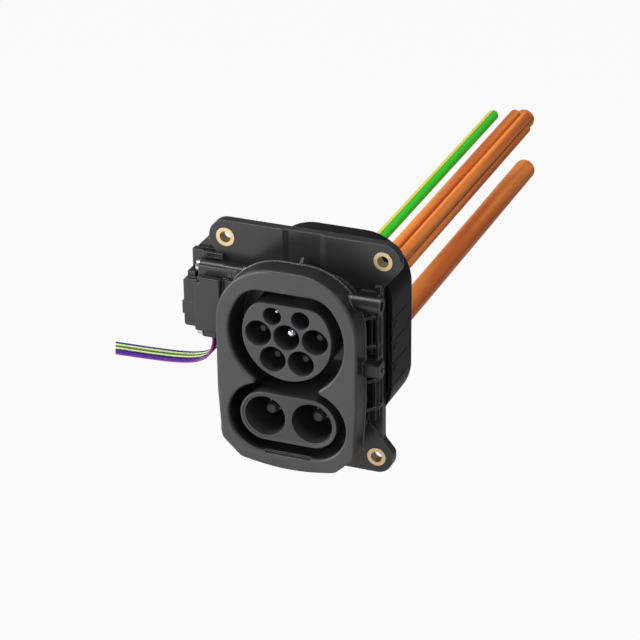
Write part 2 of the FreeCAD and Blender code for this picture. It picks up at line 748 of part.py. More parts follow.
def make_front_openings():
    """Everything that is open in the front moulding."""
    body = compound_body("front_openings")
    slab(body, "Keyhole", "collar_front_y + collar_wall - 1",
         "ac_floor_y - collar_front_y - collar_wall + 1", draw_keyhole)
    slab(body, "DeepKeyhole", "ac_floor_y - 1", "dc_floor_y - ac_floor_y + 1", draw_keyhole, "step_z")
    # hollow behind the AC floor, and the holes that the two contact carriers pass through
    slab(body, "RearHollow", "ac_floor_y + floor_wall", "flange_thick - ac_floor_y - floor_wall + 1",
         draw_rounded, carrier_seat("insert_play + 0.1"))
    slab(body, "AcSeat", "ac_floor_y - 1", "dc_floor_y + floor_wall - ac_floor_y + 2", draw_dee,
         "ac_insert_radius + insert_play", "ac_insert_flat_z + insert_play", "ac_insert_corner + insert_play")
    slab(body, "DcSeat", "dc_floor_y - 1", "floor_wall + 2", draw_slot, "dc_half_pitch", "dc_z",
         "dc_core_radius + insert_play")
    sketch = new_sketch(body, "LugHoles", offset="pad_step + 0.8")
    for z in ("lug_high_z", "lug_low_z"):
        draw_circle(sketch, "lug_x", z, "screw_radius + 0.05")
    pad(body, sketch, "flange_thick")
    slab(body, "BoltHole", "guide_end_x - 1", "-guide_end_x - 12", draw_circle, "bolt_y", "bolt_z",
         "bolt_radius + guide_play", role="YZ_Plane")
    for name, z, end, bore in (("LockBossBore", "lock_boss_z", "lock_boss_end", "lock_boss_bore"),
                               ("LowBossBore", "low_boss_z", "low_boss_end", "1.6")):
        slab(body, name, "ac_opening_radius + socket_wall + 2",
             f"{end} - ac_opening_radius - socket_wall - 1", draw_circle, "lock_boss_y", z, bore,
             role="YZ_Plane")
    slab(body, "TopChannel", "ac_opening_flat_z + socket_wall + 1",
         "ear_z + ear_radius - ac_opening_flat_z - socket_wall",
         draw_polygon, [("channel_left_x", "-1"), ("channel_right_x", "-1"), ("channel_right_x", "0"),
                        ("channel_right_x - channel_side", "channel_depth"),
                        ("channel_left_x + channel_side", "channel_depth"), ("channel_left_x", "0")],
         role="XY_Plane")
    # drain notch in the lower lip and hole in the socket's lowest wall
    slab(body, "DrainNotch", "collar_front_y - 1", "collar_wall + 1", draw_box, "-notch_half_width",
         "notch_half_width", "dc_z - dc_opening_radius - notch_depth", "dc_z - dc_opening_radius + 2")
    slab(body, "DrainHole", "dc_z - dc_opening_radius - socket_wall - 1", "socket_wall + 2", draw_box,
         "-drain_width / 2", "drain_width / 2", "dc_floor_y - 6", "dc_floor_y", role="XY_Plane")
    return body


def make_inlet_body():
    whole = doc.addObject("Part::MultiFuse", "front_moulding")
    whole.Shapes = [make_front_shell(), make_front_ribs()]
    inlet = doc.addObject("Part::Cut", "piece_inlet_body")
    inlet.Label = "inlet_body"
    inlet.Base = whole
    inlet.Tool = make_front_openings()


make_inlet_body()

# Contact carriers
def make_ac_carrier():
    body = new_body("ac_carrier")
    sketch = new_sketch(body, "AcInsert", offset="face_y")
    draw_dee(sketch, "ac_insert_radius", "ac_insert_flat_z", "ac_insert_corner")
    pad(body, sketch, "carrier_back_y - face_y")
    slab(body, "AcCarrierLip", "ac_floor_y + floor_wall + gasket_thick", "3", draw_rounded, carrier_seat())
    sketch = new_sketch(body, "PowerWells", offset="face_y")
    for x, z in power_places:
        draw_circle(sketch, x, z, "power_hole_radius")
    pocket(body, sketch, "well_floor_y - face_y")
    sketch = new_sketch(body, "PilotWells", offset="face_y")
    for side in ("", "-"):
        draw_circle(sketch, side + "pilot_x", "pilot_z", "pilot_hole_radius")
    pocket(body, sketch, "well_floor_y - face_y")
    sketch = new_sketch(body, "ContactHoles", offset="well_floor_y - 1")
    for x, z in power_places:
        draw_circle(sketch, x, z, "power_pin_radius + 0.05")
    for side in ("", "-"):
        draw_circle(sketch, side + "pilot_x", "pilot_z", "pilot_pin_radius + 0.05")
    pocket(body, sketch, "carrier_back_y - well_floor_y + 2")
    front = size("face_y")
    fillet(body, "AcFaceEdges", "insert_edge",
           lambda edge: all(abs(corner.Y - front) < 1e-4 for corner in edge.Vertexes))
    return body


power_places = [("0", "0"), ("ac_pitch", "0"), ("-ac_pitch", "0"),
                ("ac_low_x", "ac_low_z"), ("-ac_low_x", "ac_low_z")]
make_ac_carrier()


def make_dc_carrier():
    body = new_body("dc_carrier")
    sketch = new_sketch(body, "DcInsert", offset="dc_face_y")
    draw_slot(sketch, "dc_half_pitch", "dc_z", "dc_insert_radius")
    pad(body, sketch, "dc_floor_y - gasket_thick - dc_face_y")
    slab(body, "DcCore", "0", "carrier_back_y", draw_slot, "dc_half_pitch", "dc_z", "dc_core_radius")
    hollow(body, "DcFace", "dc_face_y - 1", "insert_rim_step + 1", draw_slot, "dc_half_pitch", "dc_z",
           "dc_insert_radius - insert_rim")
    sketch = new_sketch(body, "DcWells", offset="dc_face_y")
    for side in ("", "-"):
        draw_circle(sketch, side + "dc_half_pitch", "dc_z", "dc_hole_radius")
    pocket(body, sketch, "well_floor_y - dc_face_y")
    sketch = new_sketch(body, "DcContactHoles", offset="well_floor_y - 1")
    for side in ("", "-"):
        draw_circle(sketch, side + "dc_half_pitch", "dc_z", "dc_pin_radius + 0.05")
    pocket(body, sketch, "carrier_back_y - well_floor_y + 2")
    front = size("dc_face_y")
    fillet(body, "DcFaceEdges", "insert_edge",
           lambda edge: all(abs(corner.Y - front) < 1e-4 for corner in edge.Vertexes))
    return body


make_dc_carrier()


# Contacts: turned pins with a collar behind the carrier and a crimp barrel
def make_contact(label, x, z, tip, radius, dome, guard):
    start = f"{tip} + guard_length" if guard else tip
    back = "carrier_back_y"
    outline = [("0", start), (radius, start), (radius, back),
               (f"{radius} + 1.2", back), (f"{radius} + 1.2", f"{back} + 1.6"),
               (f"{radius} + 0.4", f"{back} + 1.6"), (f"{radius} + 0.4", f"{back} + barrel_length"),
               ("0", f"{back} + barrel_length")]
    body = turned(label, outline, x=x, z=z)
    if dome:
        near = size(start)
        fillet(body, "Dome_" + label, f"{radius} * 0.8",
               lambda edge: all(abs(corner.Y - near) < 1e-4 for corner in edge.Vertexes) and edge.Closed)


def make_guard(label, x, z, tip, radius, end_radius):
    turned(label, [("0", tip), (end_radius, tip), (radius, f"{tip} + guard_length * 0.8"),
                   (radius, f"{tip} + guard_length"), ("0", f"{tip} + guard_length")], x=x, z=z)


make_contact("earth_contact", "0", "0", "earth_pin_y", "power_pin_radius", True, False)
make_contact("pilot_contact", "pilot_x", "pilot_z", "far_pilot_y", "pilot_pin_radius", True, False)
make_contact("proximity_contact", "-pilot_x", "pilot_z", "near_pilot_y", "pilot_pin_radius", True, False)
for number, (x, z) in enumerate(power_places[1:], start=1):
    make_contact(f"power_contact_{number}", x, z, "power_pin_y", "power_pin_radius", False, True)
    make_guard(f"power_guard_{number}", x, z, "power_pin_y", "power_pin_radius", "guard_tip_radius")
for number, side in enumerate(("", "-"), start=1):
    make_contact(f"dc_contact_{number}", side + "dc_half_pitch", "dc_z", "dc_pin_y", "dc_pin_radius",
                 False, True)
    make_guard(f"dc_guard_{number}", side + "dc_half_pitch", "dc_z", "dc_pin_y", "dc_pin_radius",
               "dc_guard_tip_radius")

# Brass bushes in the flange
for number, (x, z) in enumerate((("-ear_x", "ear_z"), ("ear_x", "ear_z"),
                                 ("-foot_x", "foot_z"), ("foot_x", "foot_z")), start=1):
    turned(f"flange_bush_{number}",
           [("bush_bore_radius", "-0.3"), ("bush_radius", "-0.3"), ("bush_radius", "bush_length - 0.3"),
            ("bush_bore_radius", "bush_length - 0.3")], x=x, z=z)

# Rear housing: a box open towards the flange
def rear_outline(shrink="0"):
    edge = [
        ("rear_right_x", "rear_top_z", "rear_corner", "-", "-"),
        ("rear_right_x", "rear_low_z", "rear_low_corner", "-", "+"),
        ("rear_left_x", "rear_low_z", "rear_left_corner", "+", "+"),
        ("rear_left_x", "rear_top_z", "rear_corner", "+", "-"),
    ]
    return [(f"{x} {dx} ({shrink})", f"{z} {dz} ({shrink})", f"{r} - ({shrink})")
            for x, z, r, dx, dz in edge]


cable_places = [("earth_cable_x", "0", "earth_cable_radius")]
for dx in "-+":
    for dz in "+-":
        cable_places.append((f"ac_cable_x {dx} ac_cable_pitch / 2", f"ac_cable_z {dz} ac_cable_pitch / 2",
                             "ac_cable_radius"))
dc_places = [("dc_half_pitch", "dc_cable_z", "dc_cable_radius"),
             ("-dc_half_pitch", "dc_cable_z", "dc_cable_radius")]


def around(x, z, half, radius):
    """Rounded square about a point."""
    return [(f"{x} + {half}", f"{z} + {half}", radius), (f"{x} + {half}", f"{z} - ({half})", radius),
            (f"{x} - ({half})", f"{z} - ({half})", radius), (f"{x} - ({half})", f"{z} + {half}", radius)]


def make_rear_housing():
    body = new_body("rear_housing")
    sketch = new_sketch(body, "RearOutline", offset="flange_thick + 0.05")
    draw_rounded(sketch, rear_outline())
    pad(body, sketch, "rear_y - flange_thick - 0.05")
    back = size("rear_y")
    fillet(body, "RearEdge", "rear_edge_radius",
           lambda edge: all(abs(corner.Y - back) < 1e-4 for corner in edge.Vertexes))
    # cuffs round the cables and ribs across the back
    back_plane = "rear_y - 1"
    for number, (x, z, radius) in enumerate([cable_places[0]] + dc_places, start=1):
        slab(body, f"Cuff{number}", back_plane, "cuff_length + 1", draw_circle, x, z, f"{radius} + cuff_wall")
    slab(body, "CuffAc", back_plane, "cuff_length + 1", draw_rounded,
         around("ac_cable_x", "ac_cable_z", "ac_cable_pitch / 2 + ac_cable_radius + cuff_wall", "4"))
    for number in range(3):
        low = f"ac_cable_z + ac_cable_pitch / 2 + ac_cable_radius + cuff_wall + 5 + {number} * rib_pitch"
        slab(body, f"BackRib{number + 1}", back_plane, "2", draw_box, "rear_left_x + rear_corner / 2",
             "rear_right_x - rear_corner / 2", low, f"{low} + gusset_thick")
    sketch = new_sketch(body, "RearCavity", offset="flange_thick")
    draw_rounded(sketch, rear_outline("rear_wall"))
    pocket(body, sketch, "rear_y - rear_wall - flange_thick")
    # the rim steps back over the deeper part of the sockets, which stands out behind the flange
    hollow(body, "DcStep", "flange_thick - 1", "dc_floor_y + floor_wall - flange_thick + 1.05", draw_slot,
           "dc_half_pitch", "dc_z", "dc_opening_radius + socket_wall + 0.1")
    hollow(body, "AcStep", "flange_thick - 1", "dc_floor_y + floor_wall - flange_thick + 1.05",
           draw_segment, "ac_opening_radius + socket_wall + 0.1", "step_z + socket_wall + 0.1")
    sketch = new_sketch(body, "CableHoles", offset="rear_y - rear_wall - 1")
    for x, z, radius in cable_places + dc_places:
        draw_circle(sketch, x, z, f"{radius} + 0.15")
    pocket(body, sketch, "rear_wall + cuff_length + 2")
    # snap tabs along the right side: a groove between neighbours and a small hook on each
    for number in range(4):
        top = f"snap_top_z - snap_pitch * {number}"
        hollow(body, f"SnapGroove{number + 1}", "rear_right_x - snap_groove_depth", "5", draw_box,
               "flange_thick - 1", "rear_y - 10", f"{top} - snap_groove", top, role="YZ_Plane",
               reverse=True)
    for number in range(3):
        top = f"snap_top_z - snap_pitch * ({number} + 0.25)"
        slab(body, f"SnapHook{number + 1}", "rear_right_x - 1", "1.5", draw_box, "flange_thick + 3",
             "flange_thick + 7", f"{top} - snap_pitch / 5", top, role="YZ_Plane")
    return body


make_rear_housing()

# Plate that holds the contacts, and the carriers' gaskets
def make_retainer():
    body = new_body("contact_retainer")
    sketch = new_sketch(body, "RetainerOutline", offset="carrier_back_y + 2")
    left = "rear_left_x + rear_wall + 0.8"
    floor = "rear_low_z + rear_wall + 0.8"
    foot = "dc_half_pitch + 10.1"
    draw_rounded(sketch, [("retainer_right_x", "retainer_top_z", "6"),
                          ("retainer_right_x", "retainer_step_z", "5"),
                          (foot, "retainer_step_z", "1"), (foot, floor, "7"),
                          (left, floor, "7"), (left, "retainer_top_z - 2", "6")])
    pad(body, sketch, "retainer_thick")
    sketch = new_sketch(body, "RetainerHoles", offset="carrier_back_y + 1")
    for x, z in power_places:
        draw_circle(sketch, x, z, "power_pin_radius + 0.6")
    for side in ("", "-"):
        draw_circle(sketch, side + "pilot_x", "pilot_z", "pilot_pin_radius + 0.6")
        draw_circle(sketch, side + "dc_half_pitch", "dc_z", "dc_pin_radius + 0.6")
    pocket(body, sketch, "retainer_thick + 2")
    return body


make_retainer()


def make_gaskets():
    body = new_body("ac_carrier_gasket")
    slab(body, "AcGasket", "ac_floor_y + floor_wall + 0.02", "gasket_thick - 0.04", draw_rounded,
         carrier_seat())
    hollow(body, "AcGasketHole", "ac_floor_y", "floor_wall + 2", draw_dee, "ac_insert_radius + 0.3",
           "ac_insert_flat_z + 0.3", "ac_insert_corner + 0.3")
    body = new_body("dc_carrier_gasket")
    slab(body, "DcGasket", "dc_floor_y - gasket_thick + 0.02", "gasket_thick - 0.04", draw_slot,
         "dc_half_pitch", "dc_z", "dc_core_radius + 4")
    hollow(body, "DcGasketHole", "dc_floor_y - 2", "4", draw_slot, "dc_half_pitch", "dc_z",
           "dc_core_radius + 0.3")


make_gaskets()


def make_cable_seal(label, places, half_x, half_z, mid_x, mid_z):
    """Block of silicone with a hole for each cable, pressed against the rear wall."""
    body = new_body(label)
    sketch = new_sketch(body, "Block_" + label, offset="rear_inside_y - seal_length")
    right, left = f"{mid_x} + {half_x}", f"{mid_x} - {half_x}"
    high, low = f"{mid_z} + {half_z}", f"{mid_z} - {half_z}"
    draw_rounded(sketch, [(right, high, "3"), (right, low, "3"), (left, low, "3"), (left, high, "3")])
    pad(body, sketch, "seal_length")
    sketch = new_sketch(body, "Holes_" + label, offset="rear_inside_y - seal_length - 1")
    for x, z, radius in places:
        draw_circle(sketch, x, z, f"{radius} + 0.05")
    pocket(body, sketch, "seal_length + 2")


make_cable_seal("ac_cable_seal", cable_places, "17", "12", "13.5", "0")
for number, place in enumerate(dc_places, start=1):
    make_cable_seal(f"dc_cable_seal_{number}", [place], "10", "10", place[0], "dc_cable_z")

# Cables: straight cores, bare at the far end
def make_cable(label, x, z, radius, start, end):
    body = new_body(label, x=x, z=z)
    sketch = new_sketch(body, "Section_" + label, offset=start)
    draw_circle(sketch, "0", "0", radius)
    pad(body, sketch, f"{end} - ({start})")


cable_start = "carrier_back_y + barrel_length + 0.3"
make_cable("earth_cable", *cable_places[0], cable_start, "316")
for number, (place, end) in enumerate(zip(cable_places[1:], ("314", "334", "312", "312")), start=1):
    make_cable(f"ac_cable_{number}", *place, cable_start, end)
for number, (place, end) in enumerate(zip(dc_places, ("346", "430")), start=1):
    make_cable(f"dc_cable_{number}", *place, cable_start, end)


# Lock actuator: casing open at the front, closed by a cover
def box_corners(left, right, low, high, radius="1"):
    return [(right, high, radius), (right, low, radius), (left, low, radius), (left, high, radius)]


def make_actuator_casing():
    body = new_body("actuator_casing")
    slab(body, "DeepBox", "casing_front_y", "casing_deep_y - casing_front_y", draw_rounded,
         box_corners("casing_left_x", "casing_deep_x", "casing_low_z", "casing_top_z", "1.5"))
    slab(body, "InnerBox", "casing_front_y", "casing_rear_y - casing_front_y", draw_rounded,
         box_corners("casing_deep_x - 4", "casing_right_x", "casing_low_z", "casing_top_z"))
    slab(body, "GearBlock", "casing_front_y", "casing_rear_y - casing_front_y", draw_polygon,
         [("block_right_x", "block_top_z"), ("block_right_x", "gear_z - 3.2"),
          ("block_right_x - 2.2", "gear_z - 8.2"), ("guide_left_x", "gear_z - 8.2"),
          ("guide_left_x", "block_top_z")])
    slab(body, "GuideTube", "guide_left_x", "gear_x + 1.4 - guide_left_x", draw_circle, "bolt_y", "bolt_z",
         "guide_radius", role="YZ_Plane")
    slab(body, "GuideNose", "gear_x", "guide_end_x - gear_x", draw_circle, "bolt_y", "bolt_z",
         "guide_nose_radius", role="YZ_Plane")
    slab(body, "CornerStep", "casing_front_y + 0.4", "casing_rear_y - casing_front_y - 1.5", draw_box,
         "casing_left_x + 1.4", "bolt_left_x - 0.4", "casing_top_z - 1", "casing_top_z + 3.2")
    slab(body, "SideBand", "casing_front_y", "8", draw_box, "casing_left_x - band_height", "casing_left_x + 1",
         "band_low_z", "band_high_z")
    # bracket behind the tube, its plate set back beside the flange's ear
    slope_x = "casing_deep_x - 0.3"
    slab(body, "BracketBlock", "bracket_front_y", "4", draw_box, "bracket_left_x", "casing_deep_x - 6.7",
         "casing_top_z - 2.4", "bracket_top_z")
    slab(body, "BracketPlate", "bracket_front_y + 3.5", "bracket_rear_y - bracket_front_y - 3.5", draw_polygon,
         [("bracket_left_x", "casing_top_z - 2.4"), ("bracket_left_x", "bracket_top_z - 1.3"),
          ("casing_deep_x - 13.5", "bracket_top_z + 5.7"), ("casing_deep_x - 11.2", "bracket_top_z + 7.1"),
          ("casing_deep_x - 10.5", "bracket_top_z + 7.1"), ("casing_deep_x - 10.5", "ear_flank_z - 0.8"),
          (slope_x, "neck_top_z - 0.8"), (slope_x, "casing_top_z - 2.4")])
    slab(body, "LatchTab", "bracket_front_y - 2.5", "1.85", draw_box, "tab_left_x", "tab_right_x",
         "tab_low_z", "tab_high_z")
    slab(body, "LatchRoot", "bracket_front_y - 0.8", "1", draw_box, "tab_left_x", "casing_deep_x - 6.9",
         "tab_low_z", "bracket_top_z - 0.1")
    for name, z in (("HighLug", "lug_high_z"), ("LowLug", "lug_low_z")):
        slab(body, name, "flange_thick + 0.05", "2.8", draw_box, "casing_deep_x - 1.2", "lug_x + lug_reach",
             f"{z} - 4", f"{z} + 4")
    front = "casing_front_y - 1"
    hollow(body, "MainCavity", front, "gear_floor_y - casing_front_y + 1", draw_rounded,
           box_corners("casing_left_x + casing_wall", "casing_right_x - 1.2", "casing_low_z + casing_wall",
                       "casing_top_z - casing_wall"))
    hollow(body, "DeepCavity", "-3", "casing_deep_y - casing_wall + 3", draw_rounded,
           box_corners("casing_left_x + casing_wall", "casing_deep_x - 1.1", "casing_low_z + casing_wall",
                       "casing_top_z - casing_wall"))
    hollow(body, "GearCavity", front, "gear_floor_y - casing_front_y + 1", draw_polygon,
           [("gear_x + gear_room", "lid_top_z"), ("gear_x + gear_room", "gear_z - 2.8"),
            ("gear_x + gear_room - 2.4", "gear_z - 7.2"), ("guide_left_x + 1.6", "gear_z - 7.2"),
            ("guide_left_x + 1.6", "lid_top_z")])
    rack_front = "bolt_y - bolt_radius - guide_play"
    hollow(body, "RackCavity", rack_front, f"gear_floor_y - ({rack_front})", draw_box,
           f"{RACK_LEFT} - 0.39", "gear_x + rack_end + bolt_travel + 0.35", "lid_top_z - 1",
           "gear_z + gear_room")
    slab(body, "MotorRing", "gear_floor_y", "casing_deep_y - casing_wall - gear_floor_y", draw_circle,
         "motor_x", "motor_z", "motor_radius + 1.0")
    hollow(body, "MotorBore", "-3", "casing_deep_y - casing_wall + 3", draw_circle,
           "motor_x", "motor_z", "motor_radius + 0.05")
    hollow(body, "BoltBore", "guide_end_x + 1", "guide_end_x - guide_left_x + 3", draw_circle, "bolt_y",
           "bolt_z", "bolt_radius + guide_play", role="YZ_Plane")
    hollow(body, "BushSeat", "guide_left_x + 3.9", "6", draw_circle, "bolt_y", "bolt_z",
           "bush_sleeve_radius + 0.02", role="YZ_Plane")
    hollow(body, "SealSeat", "guide_end_x + 1", "2.6", draw_circle, "bolt_y", "bolt_z", "bolt_radius + 0.75",
           role="YZ_Plane")
    hollow(body, "AxleHole", "gear_rear_y + 0.1", "casing_rear_y - gear_rear_y - 0.5", draw_circle,
           "gear_x", "gear_z", "axle_radius + 0.02")
    sketch = new_sketch(body, "LugScrewHoles", offset="flange_thick - 1")
    for z in ("lug_high_z", "lug_low_z"):
        draw_circle(sketch, "lug_x", z, "screw_radius + 0.2")
    pocket(body, sketch, "5")
    hollow(body, "PlugOpening", "casing_low_z + casing_wall + 1", "casing_wall + 2", draw_box,
           "plug_left_x + 3.6", "plug_right_x - 1.5", "casing_front_y + 0.85", "gear_floor_y - 0.5",
           role="XY_Plane")
    # dark slot above the lid, seam beside the nose, and the latch tab's slot
    hollow(body, "BlockSlot", front, "1.9", draw_box, "gear_x - 3", "block_right_x + 1", "lid_top_z",
           "lid_top_z + 1.3")
    hollow(body, "BlockSeam", front, "1.5", draw_box, "block_right_x - 2.9", "block_right_x - 2.4",
           "lid_top_z + 1", "block_top_z + 1")
    hollow(body, "LatchSlot", "bracket_front_y - 3", "1.8", draw_box, "tab_left_x + 2.8",
           "tab_right_x - 0.6", "tab_low_z + 0.8", "tab_high_z - 1.1")


def make_actuator_cover():
    body = new_body("actuator_cover")
    slab(body, "Lid", "lid_front_y", "casing_front_y - 0.05 - lid_front_y", draw_rounded,
         [("block_right_x - 0.2", "lid_top_z", "1"), ("block_right_x - 0.2", "gear_z - 3", "1"),
          ("block_right_x - 2.4", "gear_z - 7", "1"), ("casing_right_x", "gear_z - 7.2", "0.5"),
          ("casing_right_x", "casing_low_z", "1"), ("casing_left_x", "casing_low_z", "1.5"),
          ("casing_left_x", "casing_top_z", "1.5"), ("guide_left_x", "casing_top_z", "0.5"),
          ("guide_left_x", "lid_top_z", "0.5")])
    slab(body, "LidStep", "lid_step_y", "1.5", draw_rounded,
         box_corners("casing_left_x", "cover_right_x", "casing_low_z", "casing_top_z", "1.5"))
    slab(body, "LidBand", "lid_step_y - 0.6", "2.4", draw_box, "casing_left_x - band_height",
         "cover_left_x + 0.5", "band_low_z", "band_high_z")
    slab(body, "Panel", "cover_front_y", "lid_front_y - cover_front_y + 0.5", draw_rounded,
         [("cover_right_x", "cover_top_z", "1.2"), ("cover_right_x", "casing_low_z - 0.8", "1.2"),
          ("cover_left_x", "casing_low_z - 0.8", "1.2"), ("cover_left_x", "casing_top_z", "1.2"),
          ("cover_left_x + cover_notch", "casing_top_z", "0.8"),
          ("cover_left_x + cover_notch", "cover_top_z", "1.2")])
    panel_front = size("cover_front_y")
    fillet(body, "PanelEdges", "cover_edge",
           lambda edge: all(abs(corner.Y - panel_front) < 1e-4 for corner in edge.Vertexes))
    hollow(body, "PanelHollow", "cover_front_y + casing_wall", "5", draw_rounded,
           box_corners("cover_left_x + casing_wall", "cover_right_x - casing_wall", "casing_low_z + 1",
                       "casing_top_z - casing_wall"))
    hollow(body, "PanelBack", "lid_front_y + 0.01", "6", draw_box, "cover_left_x - 1", "cover_right_x + 1",
           "lid_top_z", "cover_top_z + 1")


make_actuator_casing()
make_actuator_cover()


# Gears: involute teeth at a pressure angle of 25 degrees, thinned for running play
PRESSURE = math.radians(25)
PLAY = 0.08


def gear_points(teeth, module, turn, tip):
    pitch = teeth * module / 2
    base = pitch * math.cos(PRESSURE)
    root = pitch - 1.2 * module
    half = math.pi / (2 * teeth) - PLAY / pitch + math.tan(PRESSURE) - PRESSURE
    points = []
    for tooth in range(teeth):
        middle = turn + 2 * math.pi * tooth / teeth
        flank = []
        for step in range(6):
            radius = base + (pitch + tip - base) * step / 5
            roll = math.sqrt(max((radius / base) ** 2 - 1, 0))
            flank.append((radius, half - (roll - math.atan(roll))))
        flank.insert(0, (root, flank[0][1]))
        for radius, angle in flank:
            points.append((radius, middle - angle))
        for radius, angle in reversed(flank):
            points.append((radius, middle + angle))
    return [Vector(radius * math.cos(angle), 0, radius * math.sin(angle)) for radius, angle in points]


def gear_solid(teeth, module, turn, front, width, tip):
    points = gear_points(teeth, module, turn, tip)
    face = Part.Face(Part.makePolygon(points + [points[0]]))
    face.translate(Vector(0, front, 0))
    return face.extrude(Vector(0, width, 0))


def rod(radius, front, length):
    return Part.makeCylinder(radius, length, Vector(0, front, 0), Vector(0, 1, 0))


def piece_from(label, shape, x, z):
    piece = doc.addObject("Part::Feature", "piece_" + label)
    piece.Label = label
    piece.Shape = shape
    link(piece, "Placement.Base.x", x)
    link(piece, "Placement.Base.z", z)
    return piece


gear_module = size("gear_module")
gear_tip = size("gear_tip")
gear_front = size("gear_rear_y - gear_width")
to_motor = math.atan2(size("motor_z - gear_z"), size("motor_x - gear_x"))
rack_front = size("bolt_y - rack_width / 2")
wheel = gear_solid(WHEEL_TEETH, gear_module, to_motor, gear_front, size("gear_width"), gear_tip)
drive = gear_solid(DRIVE_TEETH, size("rack_module"), math.pi / 2 + math.pi / DRIVE_TEETH, rack_front,
                   gear_front - rack_front + 0.1, size("rack_addendum"))
bore_length = size("gear_rear_y") - rack_front + 10
wheel = wheel.fuse([drive]).cut(rod(size("axle_radius") + 0.04, rack_front - 5, bore_length)).removeSplitter()
piece_from("reduction_gear", wheel, "gear_x", "gear_z")

pinion = gear_solid(PINION_TEETH, gear_module, to_motor + math.pi + math.pi / PINION_TEETH, gear_front,
                    size("gear_width"), gear_tip)
shaft_front = gear_front - 0.4
shaft = rod(size("shaft_radius"), shaft_front, size("motor_front_y + 1.3") - shaft_front)
shaft = pinion.fuse([shaft]).removeSplitter()
piece_from("motor_pinion", shaft, "motor_x", "motor_z")

# Motor, gear axle, bolt with its rack, guide bush and seal
turned("lock_motor", [("shaft_radius + 0.05", "motor_front_y"), ("motor_radius", "motor_front_y"),
                      ("motor_radius", "motor_front_y + motor_length"),
                      ("0", "motor_front_y + motor_length"), ("0", "motor_front_y + 2"),
                      ("shaft_radius + 0.05", "motor_front_y + 2")], x="motor_x", z="motor_z")
turned("gear_axle", [("0", "casing_front_y + 0.05"), ("axle_radius", "casing_front_y + 0.05"),
                     ("axle_radius", "casing_rear_y - 0.45"), ("0", "casing_rear_y - 0.45")],
       x="gear_x", z="gear_z")


def make_lock_bolt():
    body = new_body("lock_bolt")
    slab(body, "BoltRod", "bolt_left_x", "bolt_tip_x - bolt_left_x", draw_circle, "bolt_y", "bolt_z",
         "bolt_radius", role="YZ_Plane")
    front = "bolt_y - rack_width / 2"
    slab(body, "RackBar", front, "rack_width", draw_box, RACK_LEFT, "gear_x + rack_end",
         "rack_line_z + rack_root", "bolt_z - 1")
    slope = f"{math.tan(PRESSURE):.6f}"
    for number in range(4):
        middle = f"gear_x - {number} * {RACK_PITCH}" if number else "gear_x"
        low = f"({RACK_PITCH} / 4 - 0.08 - rack_addendum * {slope})"
        high = f"({RACK_PITCH} / 4 - 0.08 + (rack_root + 0.1) * {slope})"
        slab(body, f"RackTooth{number + 1}", front, "rack_width", draw_polygon,
             [(f"{middle} - {low}", "rack_line_z - rack_addendum"),
              (f"{middle} + {low}", "rack_line_z - rack_addendum"),
              (f"{middle} + {high}", "rack_line_z + rack_root + 0.1"),
              (f"{middle} - {high}", "rack_line_z + rack_root + 0.1")])


make_lock_bolt()


def ring_along_x(label, rings):
    """Rings about the bolt's axis: left, length and outer radius of each, then one bore."""
    body = new_body(label)
    for number, (left, length, radius) in enumerate(rings):
        slab(body, f"Ring{number}_{label}", left, length, draw_circle, "bolt_y", "bolt_z", radius,
             role="YZ_Plane")
    left, length, _ = rings[-1]
    hollow(body, f"Bore_{label}", f"{left} + {length} + 1", "10", draw_circle, "bolt_y", "bolt_z",
           "bolt_radius + 0.05", role="YZ_Plane")


ring_along_x("guide_bush", [("guide_left_x - 1.6", "1.55", "guide_radius - 0.1"),
                            ("guide_left_x - 0.5", "4.2", "bush_sleeve_radius")])
ring_along_x("bolt_seal", [("guide_end_x - 1.5", "1.4", "bolt_radius + 0.73")])


def make_plug():
    body = new_body("connector_shell")
    slab(body, "PlugOutline", "wire_front_y - 1.2", "14.4", draw_polygon,
         [("plug_left_x", "plug_top_z"), ("plug_right_x", "plug_top_z"), ("plug_right_x", "plug_low_z + 1.2"),
          ("plug_right_x - 1", "plug_low_z"), ("plug_left_x + 4.6", "plug_low_z"),
          ("plug_left_x + 1.7", "plug_low_z + 2.4")])
    hollow(body, "PlugCavity", "casing_low_z", "casing_low_z - plug_low_z - 1.8", draw_box,
           "plug_left_x + 3.6", "plug_right_x - 1.2", "wire_front_y + 0.1", "wire_front_y + 12.5",
           role="XY_Plane")
    sketch = new_sketch(body, "WireHoles", "XY_Plane", "plug_low_z + 2.2")
    for number in range(7):
        draw_circle(sketch, "wire_exit_x", f"wire_front_y + {number} * wire_pitch",
                    "wire_radius + 0.05")
    pocket(body, sketch, "8")


make_plug()


